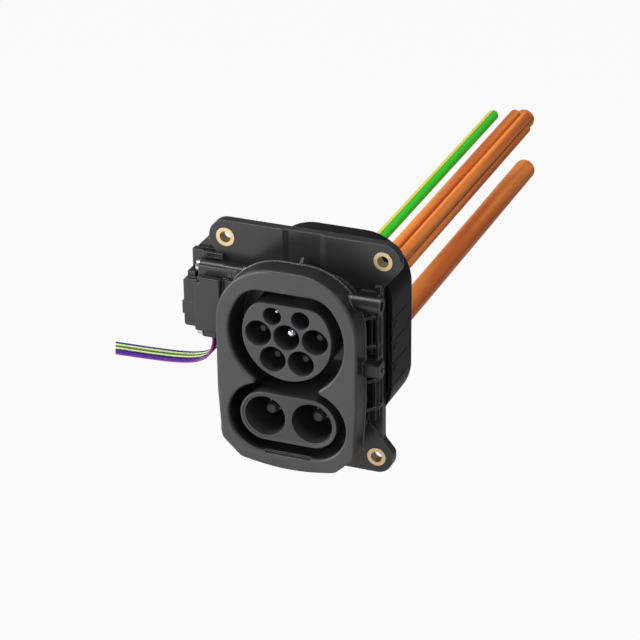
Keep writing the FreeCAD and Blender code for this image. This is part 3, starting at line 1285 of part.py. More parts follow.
def draw_route(sketch, points):
    """Open path of straight runs joined by tangent arcs."""
    places = [Vector(size(x), size(z), 0) for x, z in points]
    count = len(places)
    cuts = [(places[0], places[0])]
    bends = []
    for i in range(1, count - 1):
        back, ahead = places[i - 1] - places[i], places[i + 1] - places[i]
        reach = 0.45 * min(back.Length, ahead.Length)
        half = back.getAngle(ahead) / 2
        radius = reach * math.tan(half)
        start = places[i] + back.normalize() * reach
        stop = places[i] + ahead.normalize() * reach
        centre = places[i] + (back + ahead).normalize() * (radius / math.sin(half))
        middle = centre + (places[i] - centre).normalize() * radius
        cuts.append((start, stop))
        bends.append((Part.Arc(start, middle, stop), radius))
    cuts.append((places[-1], places[-1]))
    lines = [sketch.addGeometry(Part.LineSegment(cuts[i][1], cuts[i + 1][0]), False)
             for i in range(count - 1)]
    for i, (arc, radius) in enumerate(bends, start=1):
        item = sketch.addGeometry(arc, False)
        begins = sketch.getPoint(item, 1)
        first, last = (1, 2) if begins.distanceToPoint(cuts[i][0]) < 1e-4 else (2, 1)
        sketch.addConstraint(Sketcher.Constraint("Tangent", lines[i - 1], 2, item, first))
        sketch.addConstraint(Sketcher.Constraint("Tangent", lines[i], 1, item, last))
        sketch.addConstraint(Sketcher.Constraint("Radius", item, radius))
        corner = sketch.addGeometry(Part.Point(places[i]), True)
        pin_point(sketch, corner, 1, *points[i])
        sketch.addConstraint(Sketcher.Constraint("PointOnObject", corner, 1, lines[i - 1]))
        sketch.addConstraint(Sketcher.Constraint("PointOnObject", corner, 1, lines[i]))
    pin_point(sketch, lines[0], 1, *points[0])
    pin_point(sketch, lines[-1], 2, *points[-1])
    return [radius for _, radius in bends]


WIRE_ROUTE = [("wire_exit_x", "-11.4"), ("wire_exit_x", "-19.2"), ("-52.5", "-27"), ("-62", "-31.4"),
              ("-82", "-33.4")]


def make_wire(number):
    label = f"signal_wire_{number + 1}"
    body = new_body(label, y=f"wire_front_y + {number} * wire_pitch")
    spine = new_sketch(body, "Route_" + label)
    route = WIRE_ROUTE + [(f"wire_end_x - {number} * wire_end_step", "-34")]
    radii = draw_route(spine, route)
    if number == 0:
        print("wire bend radii", [round(radius, 2) for radius in radii])
    section = new_sketch(body, "WireSection_" + label, "XY_Plane", WIRE_ROUTE[0][1])
    draw_circle(section, "wire_exit_x", "0", "wire_radius")
    spine.Visibility = section.Visibility = False
    pipe = body.newObject("PartDesign::AdditivePipe", "Pipe_" + label)
    pipe.Profile = section
    pipe.Spine = (spine, [])


for number in range(7):
    make_wire(number)

# Board above the plug, with a small relay on it
board = new_body("sensor_board")
board_low = "casing_low_z + casing_wall + 1.5"
slab(board, "Board", "casing_front_y + 0.6", "7.6", draw_box, "casing_left_x + casing_wall + 0.3",
     "casing_right_x - 2.2", board_low, f"{board_low} + 1.2")
slab(board, "Relay", "casing_front_y + 2.3", "4", draw_box, "casing_right_x - 7.8", "casing_right_x - 3.3",
     f"{board_low} + 1", f"{board_low} + 4")

# Screws that hold the actuator to the flange
for number, z in enumerate(("lug_high_z", "lug_low_z"), start=1):
    turned(f"actuator_screw_{number}",
           [("0", "pad_step + 1"), ("screw_radius", "pad_step + 1"), ("screw_radius", "flange_thick + 2.9"),
            ("screw_radius * 2", "flange_thick + 2.9"), ("screw_radius * 2", "flange_thick + 4.6"),
            ("0", "flange_thick + 4.6")], x="lug_x", z=z)

if __name__ == "__main__":
    doc.recompute()
    os.makedirs("parts", exist_ok=True)
    total = 0
    for item in doc.Objects:
        if "Invalid" in item.State or "Error" in item.State:
            raise RuntimeError(f"{item.Name} failed: {item.State}")
        base = getattr(item, "BaseFeature", None)
        if item.TypeId == "PartDesign::Pocket" and item.Shape.Volume > base.Shape.Volume - 1e-3:
            raise RuntimeError(f"{item.Name} cuts nothing")
        if item.TypeId == "PartDesign::Pad" and base and item.Shape.Volume < base.Shape.Volume + 1e-3:
            raise RuntimeError(f"{item.Name} adds nothing")
    inner = ("front_shell", "front_ribs", "front_openings")
    for item in doc.Objects:
        if item.Name.startswith(("body_", "piece_")) and item.Label not in inner:
            shape = item.Shape
            if shape.isNull() or not shape.isValid():
                raise RuntimeError(f"{item.Label} has no valid shape")
            shape.exportStep(f"parts/{item.Label}.step")
            total += 1
            print(item.Label, len(shape.Solids), round(shape.Volume, 1))
    print("nodes", total)
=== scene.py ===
import math
import bpy
import bmesh
from mathutils import Vector, Matrix


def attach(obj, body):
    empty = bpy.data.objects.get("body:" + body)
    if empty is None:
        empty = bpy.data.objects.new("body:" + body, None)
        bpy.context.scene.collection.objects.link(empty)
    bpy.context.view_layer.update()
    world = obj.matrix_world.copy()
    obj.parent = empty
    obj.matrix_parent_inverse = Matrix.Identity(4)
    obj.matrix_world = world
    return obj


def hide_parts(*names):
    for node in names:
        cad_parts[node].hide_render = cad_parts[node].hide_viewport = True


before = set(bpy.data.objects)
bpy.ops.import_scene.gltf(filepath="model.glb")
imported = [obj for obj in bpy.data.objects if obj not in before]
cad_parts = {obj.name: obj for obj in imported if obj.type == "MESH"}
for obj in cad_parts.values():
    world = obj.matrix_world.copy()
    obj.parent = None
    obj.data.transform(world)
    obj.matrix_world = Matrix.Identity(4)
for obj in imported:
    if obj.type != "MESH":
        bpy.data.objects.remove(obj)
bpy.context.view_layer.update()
mm = 0.001
scene = bpy.context.scene
print("frame loaded")

# sockets of the Mix node in its colour mode, where several share a name
mixSockets = {"factor": 0, "first": 6, "second": 7, "result": 2}
# most of a noise texture's values lie in these spans
noiseSpan = {"narrow": (0.35, 0.65), "wide": (0.3, 0.7)}
bevelSamples = 4
white = (1, 1, 1, 1)


def toLinear(hexText):
    # sRGB text to the linear colour that a node takes
    parts = [int(hexText[i:i + 2], 16) / 255 for i in (1, 3, 5)]
    return [c / 12.92 if c <= 0.04045 else ((c + 0.055) / 1.055) ** 2.4 for c in parts] + [1.0]


def addObject(name, data):
    item = bpy.data.objects.new(name, data)
    scene.collection.objects.link(item)
    return item


def moveTo(place):
    return Matrix.Translation(Vector(place) * mm)


def addNode(tree, kind, links=None, **settings):
    # links gives each input another node's output or a plain value
    node = tree.nodes.new(kind)
    for name, value in settings.items():
        setattr(node, name, value)
    for socket, source in (links or {}).items():
        target = node.inputs[socket]
        if isinstance(source, bpy.types.NodeSocket):
            tree.links.new(source, target)
        else:
            target.default_value = source
    return node


def newMaterial(name):
    material = bpy.data.materials.new(name)
    material.use_nodes = True
    tree = material.node_tree
    tree.nodes.clear()
    place = addNode(tree, "ShaderNodeTexCoord").outputs["Object"]
    return material, tree, place


def finishMaterial(tree, shader):
    addNode(tree, "ShaderNodeOutputMaterial", {"Surface": shader.outputs[0]})


def coat(tree, tint, dull, bump, extra=None):
    finishMaterial(tree, addNode(tree, "ShaderNodeBsdfPrincipled", {
        "Base Color": tint, "Roughness": dull, "Normal": bump, **(extra or {})}))


def maths(tree, operation, first, second=0.0):
    return addNode(tree, "ShaderNodeMath", {0: first, 1: second}, operation=operation).outputs[0]


def between(tree, value, low, high, start=0.0, stop=1.0):
    return addNode(tree, "ShaderNodeMapRange", {
        "Value": value, "From Min": low, "From Max": high, "To Min": start, "To Max": stop}).outputs["Result"]


def varied(tree, noise, middle, change):
    return between(tree, noise, *noiseSpan["wide"], middle - change, middle + change)


def blendColours(tree, factor, first, second):
    first, second = [toLinear(c) if isinstance(c, str) else c for c in (first, second)]
    mix = addNode(tree, "ShaderNodeMix", {mixSockets["factor"]: factor, mixSockets["first"]: first,
                                          mixSockets["second"]: second}, data_type="RGBA")
    return mix.outputs[mixSockets["result"]]


def noiseOf(tree, place, size):
    return addNode(tree, "ShaderNodeTexNoise", {"Vector": place, "Scale": 1 / (size * mm), "Detail": 2.0}).outputs[0]


def softNormal(tree, radius):
    return addNode(tree, "ShaderNodeBevel", {"Radius": radius * mm}, samples=bevelSamples).outputs[0]


def reliefOf(tree, height, finish, normal=None):
    links = {"Height": height, "Strength": finish["strength"], "Distance": finish["relief"] * mm}
    if normal is not None:
        links["Normal"] = normal
    return addNode(tree, "ShaderNodeBump", links).outputs[0]


# camera at the photograph's place, in millimetres, with its own three axes
cameraSet = {"at": (500.8, -1208.4, 639.2), "lens": 151.8, "sensor": 36, "clip": 10.0,
             "right": (0.92790785, 0.37269604, -0.00920201), "up": (-0.15617342, 0.41100356, 0.89815697),
             "back": (0.33852161, -0.83196979, 0.43957864)}
cameraData = bpy.data.cameras.new("photoCamera")
cameraData.lens = cameraSet["lens"]
cameraData.sensor_width = cameraSet["sensor"]
cameraData.clip_end = cameraSet["clip"]
camera = addObject("photoCamera", cameraData)
turn = Matrix([cameraSet[way] for way in ("right", "up", "back")]).transposed().to_4x4()
camera.matrix_world = moveTo(cameraSet["at"]) @ turn
scene.camera = camera
print("camera placed")

# cords on the routes of the CAD solids, in millimetres; each cable is x, z, diameter and far end
cableRoutes = {"earth_cable": (1.0, 0.0, 6.9, 316), "ac_cable_1": (16.3, 3.1, 7.0, 314),
               "ac_cable_2": (16.3, -4.3, 7.0, 334), "ac_cable_3": (23.7, 3.1, 7.0, 312),
               "ac_cable_4": (23.7, -4.3, 7.0, 312), "dc_cable_1": (13.65, -47.2, 13.4, 346),
               "dc_cable_2": (-13.65, -47.2, 13.4, 430)}
cableSet = {"start": 24.9, "exit": 41.0}
# the wires share a route in X and Z
wireRoute = [(-48, -11.4), (-48, -19.2), (-52.5, -27), (-62, -31.4), (-82, -33.4)]
wireSet = {"count": 7, "front": -13.4, "pitch": 2.0, "diameter": 1.3, "end": -107.8, "endStep": 0.95,
           "endHeight": -34, "rounding": 0.97}
curveSet = {"around": 8, "along": 12, "order": 3}


def makeCord(name, points, diameter):
    data = bpy.data.curves.new(name, "CURVE")
    data.dimensions = "3D"
    # the radius of each point carries the size, so that the bounding box is the cord's own
    data.bevel_depth = 1.0
    data.bevel_resolution = curveSet["around"]
    data.use_fill_caps = True
    data.resolution_u = curveSet["along"]
    spline = data.splines.new("NURBS")
    spline.points.add(len(points) - 1)
    for point, place in zip(spline.points, points):
        point.co = (*(c * mm for c in place), 1)
        point.radius = diameter / 2 * mm
    spline.order_u = curveSet["order"]
    spline.use_endpoint_u = True
    return addObject(name, data)


def newTree(name, inputs):
    tree = bpy.data.node_groups.new(name, "GeometryNodeTree")
    tree.interface.new_socket("Geometry", in_out="OUTPUT", socket_type="NodeSocketGeometry")
    for label, kind in inputs.items():
        tree.interface.new_socket(label, in_out="INPUT", socket_type="NodeSocket" + kind)
    return tree, tree.nodes.new("NodeGroupInput").outputs


def endTree(tree, instances, finish):
    solid = addNode(tree, "GeometryNodeRealizeInstances", {"Geometry": instances}).outputs["Geometry"]
    coated = addNode(tree, "GeometryNodeSetMaterial", {"Geometry": solid, "Material": finish})
    addNode(tree, "NodeGroupOutput", {"Geometry": coated.outputs["Geometry"]})
    return tree


def runTree(name, tree, values, place):
    # the tree's result as a plain mesh, moved to its place
    holder = addObject(name + "Holder", bpy.data.meshes.new(name + "Holder"))
    modifier = holder.modifiers.new("made", "NODES")
    modifier.node_group = tree
    sockets = {item.name: item.identifier for item in tree.interface.items_tree if item.in_out == "INPUT"}
    for key, value in values.items():
        modifier[sockets[key]] = value
    mesh = bpy.data.meshes.new_from_object(holder.evaluated_get(bpy.context.evaluated_depsgraph_get()))
    bpy.data.objects.remove(holder)
    mesh.transform(place)
    return addObject(name, mesh)


# copper conductor that shows at the cut end of each cable, as rings of strands about one in the middle
strandSet = {"proud": 3.0, "share": 0.62, "rings": 3, "ringStep": 6, "sides": 10}
copperSet = {"dark": "#b4673c", "pale": "#d08a5c", "line": 0.7, "dull": 0.34, "vary": 0.06, "strength": 0.3,
             "relief": 0.01}
faceAlongY = Matrix.Rotation(math.pi / 2, 4, "X")


def strandTree():
    tree, given = newTree("conductorStrands", {"strandRadius": "Float", "strandLength": "Float",
                                               "copper": "Material"})
    strand = addNode(tree, "GeometryNodeMeshCylinder", {
        "Vertices": strandSet["sides"], "Radius": given["strandRadius"], "Depth": given["strandLength"]})
    middle = addNode(tree, "GeometryNodeMeshLine", {"Count": 1})
    places = addNode(tree, "GeometryNodeJoinGeometry")
    tree.links.new(middle.outputs["Mesh"], places.inputs[0])
    for ring in range(1, strandSet["rings"] + 1):
        reach = maths(tree, "MULTIPLY", given["strandRadius"], 2.0 * ring)
        circle = addNode(tree, "GeometryNodeMeshCircle", {"Vertices": strandSet["ringStep"] * ring, "Radius": reach})
        tree.links.new(circle.outputs["Mesh"], places.inputs[0])
    spread = addNode(tree, "GeometryNodeInstanceOnPoints", {
        "Points": places.outputs[0], "Instance": strand.outputs["Mesh"]})
    return endTree(tree, spread.outputs["Instances"], given["copper"])


def drawnCopper():
    # bare drawn copper: bright and warm, with fine mottling
    material, tree, place = newMaterial("drawnCopper")
    lines = noiseOf(tree, place, copperSet["line"])
    coat(tree, blendColours(tree, lines, copperSet["dark"], copperSet["pale"]),
         varied(tree, lines, copperSet["dull"], copperSet["vary"]), reliefOf(tree, lines, copperSet),
         {"Metallic": 1.0})
    return material


copper = drawnCopper()
strands = strandTree()
cords = {}
for node, (x, z, diameter, end) in cableRoutes.items():
    start = cableSet["start"]
    line = [(x, start, z), (x, (start + end) / 2, z), (x, end, z)]
    cord = makeCord(node.replace("_", "") + "Cord", line, diameter)
    radius = strandSet["share"] * diameter / 2 / (2 * strandSet["rings"] + 1)
    core = runTree(node.replace("_", "") + "Conductor", strands, {
        "strandRadius": radius * mm, "strandLength": 2 * strandSet["proud"] * mm, "copper": copper},
        moveTo((x, end, z)) @ faceAlongY)
    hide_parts(node)
    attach(cord, "inlet")
    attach(core, "inlet")
    cords[node] = cord
print("cables laid")

# signal wires, all on one route, one behind the other
for number in range(wireSet["count"]):
    y = wireSet["front"] + wireSet["pitch"] * number
    end = wireSet["end"] - wireSet["endStep"] * number
    line = [(x, y, z) for x, z in wireRoute] + [(end, y, wireSet["endHeight"])]
    wire = makeCord("signalWire" + str(number + 1), line, wireSet["diameter"])
    node = "signal_wire_" + str(number + 1)
    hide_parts(node)
    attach(wire, "inlet")
    cords[node] = wire
print("wires laid")

# moulded plastics: satin, with the fine spark-eroded grain of the mould and paler edges, which are painted
# highlight;
# tint and polish go by the depth in Y: walls behind the front face are smoother, and their darker tint is painted
# shade
plastics = {
    # in each layer list the darker tints behind the front faces are painted shade on the recess walls, wells and
    # flange
    "mouldedNylonCollar": {
        "layers": [(-27.1, "#414143"), (-25.8, "#3e3e40"), (-24.6, "#202022"), (-2.0, "#1e1e20"),
                   (-0.9, "#2a2a2c"), (6.0, "#242426")],
        "edge": "#8a8a8c", "soften": 0.5, "dull": (0.44, 0.30), "polish": (-25.8, -24.6), "ior": 1.45},
    "mouldedNylonCarrier": {
        "layers": [(-25.5, "#424244"), (-24.65, "#3e3e40"), (-24.15, "#38383a"), (4.0, "#2a2a2c")],
        "edge": "#8e8e90", "soften": 0.3, "dull": (0.44, 0.40), "polish": (-24.6, -24.1), "ior": 1.45},
    # the housing's paler tint on its back, from Y 38 on, is painted light
    "mouldedPolyesterHousing": {
        "layers": [(0.0, "#111112"), (36.0, "#131314"), (38.0, "#2c2c2e")],
        "edge": "#4c4c4e", "soften": 0.4, "dull": (0.36, 0.40), "polish": (0.0, 38.0), "ior": 1.20},
    "mouldedPolyesterActuator": {
        "layers": [(-30.0, "#2e2e30"), (8.0, "#28282a")],
        "edge": "#757577", "soften": 0.55, "dull": (0.24, 0.26), "polish": (-30.0, 8.0), "ior": 1.45},
    "mouldedNylonGuard": {
        "layers": [(-22.0, "#3a3a3c"), (-10.0, "#2a2a2c")],
        "edge": "#606062", "soften": 0.3, "dull": (0.40, 0.42), "polish": (-22.0, -10.0), "ior": 1.40},
}
grainSet = {"cloud": 16.0, "grain": 0.45, "strength": 0.5, "relief": 0.012, "vary": 0.06, "uneven": 0.08}
# the painted edge highlight, in the tint that each finish gives as edge, starts where the softened normal leaves the
# face's own, and is full where it has left it further
edgeHighlightSet = {"start": 0.985, "full": 0.88, "most": 0.85}


# tint by depth in Y between the listed layers: painted shade on deeper walls, painted light on the housing's back
def layeredTint(tree, depth, layers):
    near, far = layers[0][0], layers[-1][0]
    ramp = addNode(tree, "ShaderNodeValToRGB", {"Fac": between(tree, depth, near * mm, far * mm)})
    marks = ramp.color_ramp.elements
    for y, colour in layers[1:-1]:
        marks.new((y - near) / (far - near)).color = toLinear(colour)
    marks[0].color = toLinear(layers[0][1])
    marks[len(marks) - 1].color = toLinear(layers[-1][1])
    return ramp.outputs["Color"]


def mouldedPlastic(name):
    finish = plastics[name]
    material, tree, place = newMaterial(name)
    depth = addNode(tree, "ShaderNodeSeparateXYZ", {"Vector": place}).outputs["Y"]
    cloud = noiseOf(tree, place, grainSet["cloud"])
    grain = noiseOf(tree, place, grainSet["grain"])
    value = between(tree, cloud, *noiseSpan["narrow"], 1 - grainSet["vary"], 1 + grainSet["vary"])
    tint = addNode(tree, "ShaderNodeHueSaturation", {
        "Color": layeredTint(tree, depth, finish["layers"]), "Value": value}).outputs[0]
    soft = softNormal(tree, finish["soften"])
    flat = addNode(tree, "ShaderNodeNewGeometry").outputs["Normal"]
    along = addNode(tree, "ShaderNodeVectorMath", {0: soft, 1: flat}, operation="DOT_PRODUCT").outputs["Value"]
    # paler edges: painted highlight wherever the softened normal leaves the face's own
    paintedEdgeHighlight = between(tree, along, edgeHighlightSet["start"], edgeHighlightSet["full"], 0.0, edgeHighlightSet["most"])
    front, rear = finish["polish"]
    dull = between(tree, depth, front * mm, rear * mm, *finish["dull"])
    coat(tree, blendColours(tree, paintedEdgeHighlight, tint, finish["edge"]),
         maths(tree, "MULTIPLY", dull, varied(tree, cloud, 1.0, grainSet["uneven"])),
         reliefOf(tree, grain, grainSet, soft), {"IOR": finish["ior"]})
    return material


# metals: bright plating on the contacts, turned brass bushes, ground steel
metals = {
    "silverPlatedContact": {"dark": "#cfccc4", "pale": "#e6e3dc", "dull": 0.20, "line": 0.5},
    "turnedBrass": {"dark": "#c4ac85", "pale": "#cfb992", "dull": 0.30, "line": 1.2},
    "groundSteel": {"dark": "#b4b5b8", "pale": "#cfd0d2", "dull": 0.24, "line": 0.5},
}
metalSet = {"soften": 0.15, "strength": 0.3, "relief": 0.006, "vary": 0.04}


def workedMetal(name):
    finish = metals[name]
    material, tree, place = newMaterial(name)
    lines = noiseOf(tree, place, finish["line"])
    coat(tree, blendColours(tree, between(tree, lines, *noiseSpan["narrow"]), finish["dark"], finish["pale"]),
         varied(tree, lines, finish["dull"], metalSet["vary"]),
         reliefOf(tree, lines, metalSet, softNormal(tree, metalSet["soften"])), {"Metallic": 1.0})
    return material


# small parts of silicone, acetal and board laminate
fillers = {
    "siliconeSeal": {"dark": "#3a2a24", "pale": "#46342c", "dull": 0.6, "grain": 0.6},
    "mouldedAcetal": {"dark": "#d6d4cc", "pale": "#e6e4dc", "dull": 0.35, "grain": 0.6},
    "glassEpoxyLaminate": {"dark": "#1a5430", "pale": "#22683e", "dull": 0.4, "grain": 0.8},
}
fillerSet = {"strength": 0.4, "relief": 0.015, "vary": 0.05}


def plainFiller(name):
    finish = fillers[name]
    material, tree, place = newMaterial(name)
    grain = noiseOf(tree, place, finish["grain"])
    coat(tree, blendColours(tree, grain, finish["dark"], finish["pale"]),
         varied(tree, grain, finish["dull"], fillerSet["vary"]), reliefOf(tree, grain, fillerSet))
    return material


finishes = {name: mouldedPlastic(name) for name in plastics}
finishes.update({name: workedMetal(name) for name in metals})
finishes.update({name: plainFiller(name) for name in fillers})
# the first entry that a CAD node's name starts with gives its finish; the contacts are what is left
nodeStarts = {
    "inlet_body": "mouldedNylonCollar", "ac_carrier_g": "siliconeSeal", "dc_carrier_g": "siliconeSeal",
    "ac_carrier": "mouldedNylonCarrier", "dc_carrier": "mouldedNylonCarrier",
    "power_guard": "mouldedNylonGuard", "dc_guard": "mouldedNylonGuard",
    "rear_housing": "mouldedPolyesterHousing", "contact_retainer": "mouldedPolyesterHousing",
    "actuator_screw": "groundSteel", "actuator": "mouldedPolyesterActuator",
    "connector": "mouldedPolyesterActuator", "reduction_gear": "mouldedAcetal",
    "sensor_board": "glassEpoxyLaminate", "motor_pinion": "turnedBrass", "flange_bush": "turnedBrass",
    "lock_": "groundSteel", "gear_axle": "groundSteel", "guide_bush": "groundSteel",
    "bolt_seal": "siliconeSeal", "ac_cable_seal": "siliconeSeal", "dc_cable_seal": "siliconeSeal",
    "": "silverPlatedContact"}
for node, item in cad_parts.items():
    finish = next(name for start, name in nodeStarts.items() if node.startswith(start))
    for slot in item.material_slots:
        slot.material = finishes[finish]
print("CAD nodes finished")

# extruded cable sheaths: smooth, with broad bands along their length; the strong dark and pale bands on the orange
# sheath are painted reflection and shade streaks, the bands on the wires faint
sheaths = {
    "extrudedSiliconeOrange": {"dark": "#cc662a", "pale": "#f29244", "dull": 0.38},
    "extrudedPvcViolet": {"dark": "#441890", "pale": "#4e1e9c", "dull": 0.35},
    "extrudedPvcNavy": {"dark": "#1a1044", "pale": "#221450", "dull": 0.35},
    "extrudedPvcPaleYellow": {"dark": "#ccd494", "pale": "#dce4a8", "dull": 0.35},
    "extrudedPvcGreen": {"dark": "#3e5c36", "pale": "#4c6e40", "dull": 0.35},
    "extrudedPvcYellow": {"dark": "#c4d88c", "pale": "#d4e6a0", "dull": 0.35},
    "extrudedPvcBlueViolet": {"dark": "#2c2474", "pale": "#362c84", "dull": 0.35},
}
sheathStreakSet = {"across": 3.4, "along": 160.0, "detail": 0.0, "strength": 0.4, "relief": 0.01, "vary": 0.05, "ior": 1.42}


def dieLines(tree, place, run):
    scales = [1 / (sheathStreakSet["along" if axis == run else "across"] * mm) for axis in "XYZ"]
    stretched = addNode(tree, "ShaderNodeMapping", {"Vector": place, "Scale": scales})
    return addNode(tree, "ShaderNodeTexNoise", {
        "Vector": stretched.outputs[0], "Scale": 1.0, "Detail": sheathStreakSet["detail"]}).outputs[0]


def extrudedSheath(name, run, finish=None, tinted=None):
    material, tree, place = newMaterial(name)
    lines = dieLines(tree, place, run)
    finish = finish or sheaths[name]
    if tinted:
        tint = tinted(tree, place)
    else:
        # dark and pale bands along the sheath: painted reflection and shade streaks
        tint = blendColours(tree, between(tree, lines, *noiseSpan["narrow"]), finish["dark"], finish["pale"])
    coat(tree, tint, varied(tree, lines, finish["dull"], sheathStreakSet["vary"]), reliefOf(tree, lines, sheathStreakSet),
         {"IOR": sheathStreakSet["ior"]})
    return material


# two lengthwise stripes on the earth cable: turn in degrees about its axis, widths as shares of a cosine
earthStripe = {"turn": 25, "half": 0.57, "blur": 0.03, "join": 0.10, "yellow": "#d8d44c", "green": "#30e034",
               "seam": "#1f7a10", "dull": 0.38}


def stripedTint(tree, place):
    # a darker line is painted where the two colours meet, as painted shade
    parts = addNode(tree, "ShaderNodeSeparateXYZ", {"Vector": place}).outputs
    across = maths(tree, "SUBTRACT", parts["X"], cableRoutes["earth_cable"][0] * mm)
    angle = maths(tree, "ARCTAN2", parts["Z"], across)
    turned = maths(tree, "SUBTRACT", angle, math.radians(earthStripe["turn"]))
    band = maths(tree, "ABSOLUTE", maths(tree, "COSINE", turned))
    beyond = maths(tree, "SUBTRACT", band, earthStripe["half"])
    green = between(tree, beyond, -earthStripe["blur"], earthStripe["blur"])
    halves = blendColours(tree, green, earthStripe["yellow"], earthStripe["green"])
    seam = between(tree, maths(tree, "ABSOLUTE", beyond), earthStripe["join"], 0.0)
    return blendColours(tree, seam, halves, earthStripe["seam"])


# red line along the first wire, on the outer side of its bend: middle and width as shares of the way round
tracerSet = {"middle": 0.5, "half": 0.19, "blur": 0.02, "ground": "#541c8e", "line": "#c81e54", "dull": 0.35}


def tracerTint(tree, _):
    chart = addNode(tree, "ShaderNodeUVMap").outputs["UV"]
    around = addNode(tree, "ShaderNodeSeparateXYZ", {"Vector": chart}).outputs["Y"]
    away = maths(tree, "ABSOLUTE", maths(tree, "SUBTRACT", around, tracerSet["middle"]))
    inside = between(tree, away, tracerSet["half"] + tracerSet["blur"], tracerSet["half"])
    return blendColours(tree, inside, tracerSet["ground"], tracerSet["line"])


orangeSheath = extrudedSheath("extrudedSiliconeOrange", "Y")
for node in cableRoutes:
    striped = node == "earth_cable"
    sheath = extrudedSheath("extrudedPvcEarth", "Y", earthStripe, stripedTint) if striped else orangeSheath
    cords[node].data.materials.append(sheath)
cords["signal_wire_1"].data.materials.append(extrudedSheath("extrudedPvcTracer", "X", tracerSet, tracerTint))
wireSheaths = [name for name in sheaths if name.startswith("extrudedPvc")]
for number, name in enumerate(wireSheaths, start=2):
    cords["signal_wire_" + str(number)].data.materials.append(extrudedSheath(name, "X"))
print("cords coloured")

# pair of short ribs on the wall of each DC well, silicone sleeves where the wires leave the plug
ribSet = {"wells": {"Right": 13.65, "Left": -13.65}, "height": -49.8, "front": -21.6, "size": (1.2, 0.5, 6.0),
          "count": 2, "reach": 11.3, "turn": 35, "sweep": 35}
sleeveSet = {"middle": -12.95, "length": 1.6, "reach": 0.79, "wall": 0.26, "sides": 20}


def ribTree():
    tree, given = newTree("wellRibs", {"reach": "Float", "turn": "Float", "sweep": "Float", "block": "Vector",
                                       "plastic": "Material"})
    block = addNode(tree, "GeometryNodeMeshCube", {"Size": given["block"]})
    arc = addNode(tree, "GeometryNodeCurveArc", {
        "Resolution": ribSet["count"], "Radius": given["reach"], "Start Angle": given["turn"],
        "Sweep Angle": given["sweep"]})
    spots = addNode(tree, "GeometryNodeCurveToPoints", {"Curve": arc.outputs["Curve"]}, mode="EVALUATED")
    outward = addNode(tree, "FunctionNodeAlignRotationToVector", {
        "Vector": addNode(tree, "GeometryNodeInputPosition").outputs[0]}, axis="X", pivot_axis="Z")
    spread = addNode(tree, "GeometryNodeInstanceOnPoints", {
        "Points": spots.outputs["Points"], "Instance": block.outputs["Mesh"], "Rotation": outward.outputs[0]})
    return endTree(tree, spread.outputs["Instances"], given["plastic"])


def sleeveTree():
    tree, given = newTree("wireSleeves", {"reach": "Float", "wall": "Float", "length": "Float", "count": "Int",
                                          "pitch": "Vector", "rubber": "Material"})
    path = addNode(tree, "GeometryNodeCurvePrimitiveCircle", {
        "Resolution": sleeveSet["sides"], "Radius": given["reach"]})
    section = addNode(tree, "GeometryNodeCurvePrimitiveQuadrilateral", {
        "Width": given["wall"], "Height": given["length"]})
    ring = addNode(tree, "GeometryNodeCurveToMesh", {
        "Curve": path.outputs["Curve"], "Profile Curve": section.outputs["Curve"]})
    row = addNode(tree, "GeometryNodeMeshLine", {"Count": given["count"], "Offset": given["pitch"]})
    spread = addNode(tree, "GeometryNodeInstanceOnPoints", {
        "Points": row.outputs["Mesh"], "Instance": ring.outputs["Mesh"]})
    return endTree(tree, spread.outputs["Instances"], given["rubber"])


def settle(piece):
    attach(piece, "inlet")


ribs = ribTree()
for side, x in ribSet["wells"].items():
    settle(runTree("wellRibs" + side, ribs, {
        "reach": ribSet["reach"] * mm, "turn": math.radians(ribSet["turn"]), "sweep": math.radians(ribSet["sweep"]),
        "block": [c * mm for c in ribSet["size"]], "plastic": finishes["mouldedNylonCarrier"]},
        moveTo((x, ribSet["front"], ribSet["height"])) @ faceAlongY))
settle(runTree("wireSleeves", sleeveTree(), {
    "reach": sleeveSet["reach"] * mm, "wall": sleeveSet["wall"] * mm, "length": sleeveSet["length"] * mm,
    "count": wireSet["count"], "pitch": (0, wireSet["pitch"] * mm, 0), "rubber": finishes["siliconeSeal"]},
    moveTo((wireRoute[0][0], wireSet["front"], sleeveSet["middle"]))))

# steel clip that locks the plug, folded from strip: its width along X and its bends in Y and Z
clipSet = {"x": (-56.6, -53.6), "thick": 0.35,
           "bends": [(-15.05, -8.9), (-15.6, -9.6), (-15.6, -10.6), (-15.15, -11.1), (-15.15, -12.0)]}


def foldedClip():
    shape = bmesh.new()
    bends = clipSet["bends"]
    fold = bends + [(y + clipSet["thick"], z) for y, z in reversed(bends)]
    ends = [[shape.verts.new((x * mm, y * mm, z * mm)) for y, z in fold] for x in clipSet["x"]]
    count = len(fold)
    for left in range(count):
        right = (left + 1) % count
        shape.faces.new((ends[0][left], ends[0][right], ends[1][right], ends[1][left]))
    for row in ends:
        for i in range(len(bends) - 1):
            shape.faces.new((row[i], row[i + 1], row[count - 2 - i], row[count - 1 - i]))
    bmesh.ops.recalc_face_normals(shape, faces=shape.faces)
    mesh = bpy.data.meshes.new("plugClip")
    shape.to_mesh(mesh)
    shape.free()
    mesh.materials.append(finishes["groundSteel"])
    return addObject("plugClip", mesh)


settle(foldedClip())
print("small fittings placed")

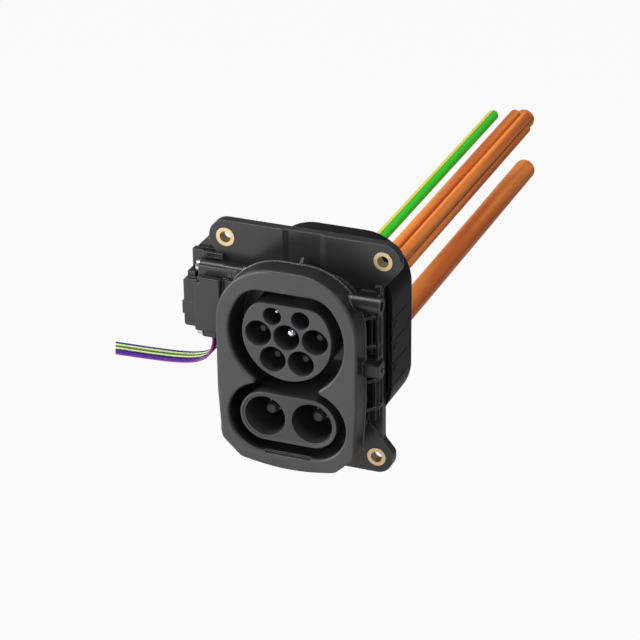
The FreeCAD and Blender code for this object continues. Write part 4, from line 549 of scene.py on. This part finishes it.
# pale floor, which the camera sees nearly white
floorSet = {"size": 8.0, "drop": -0.60, "tint": "#d8d8d8", "seen": 0.94}
bpy.ops.mesh.primitive_plane_add(size=floorSet["size"], location=(0, 0, floorSet["drop"]))
floor = bpy.context.object
floor.name = "paleFloor"
floorPaint, tree, place = newMaterial("paleFloorPaint")
plain = addNode(tree, "ShaderNodeBsdfDiffuse", {"Color": toLinear(floorSet["tint"])})
bright = addNode(tree, "ShaderNodeEmission", {"Color": white, "Strength": 1.0})
ray = addNode(tree, "ShaderNodeLightPath").outputs
seen = maths(tree, "MULTIPLY", ray["Is Camera Ray"], floorSet["seen"])
finishMaterial(tree, addNode(tree, "ShaderNodeMixShader", {0: seen, 1: plain.outputs[0], 2: bright.outputs[0]}))
floor.data.materials.append(floorPaint)

# white sky for the camera, dimmer in reflections, and a faint fill for all else
skySet = {"seen": 1.0, "gloss": 0.2, "fill": 0.10}
world = bpy.data.worlds.new("studio")
scene.world = world
world.use_nodes = True
tree = world.node_tree
tree.nodes.clear()
ray = addNode(tree, "ShaderNodeLightPath").outputs
mirrored = maths(tree, "MAXIMUM", ray["Is Glossy Ray"], ray["Is Transmission Ray"])
glossPart = maths(tree, "MULTIPLY", mirrored, skySet["gloss"] - skySet["fill"])
seenPart = maths(tree, "MULTIPLY", ray["Is Camera Ray"], skySet["seen"] - skySet["fill"])
glow = maths(tree, "ADD", maths(tree, "ADD", glossPart, seenPart), skySet["fill"])
sky = addNode(tree, "ShaderNodeBackground", {"Color": white, "Strength": glow})
addNode(tree, "ShaderNodeOutputWorld", {"Surface": sky.outputs[0]})

# lamps in metres and watts, all turned to one aim
lamps = {"keyLeft": {"at": (-1.6, -1.05, 0.3), "size": (0.9, 0.9), "power": 40},
         "frontLow": {"at": (-0.65, -1.35, -0.4), "size": (0.8, 0.6), "power": 2.5},
         "frontFill": {"at": (0.45, -1.45, 0.75), "size": (0.5, 0.5), "power": 5},
         "topStrip": {"at": (-0.35, 0.15, 1.05), "size": (1.0, 0.12), "power": 6.0},
         "topRight": {"at": (0.6, -0.45, 1.3), "size": (0.5, 0.5), "power": 9},
         "rightRim": {"at": (1.5, -0.8, 0.2), "size": (0.10, 1.2), "power": 0.8}}
lampAim = Vector((0, 0, -0.02))
for name, setting in lamps.items():
    lampData = bpy.data.lights.new(name, "AREA")
    lampData.shape = "RECTANGLE"
    lampData.size, lampData.size_y = setting["size"]
    lampData.energy = setting["power"]
    lamp = addObject(name, lampData)
    lamp.location = setting["at"]
    lamp.rotation_euler = (lampAim - Vector(setting["at"])).to_track_quat("-Z", "Y").to_euler()
scene.view_settings.view_transform = "Standard"
print("studio lit")
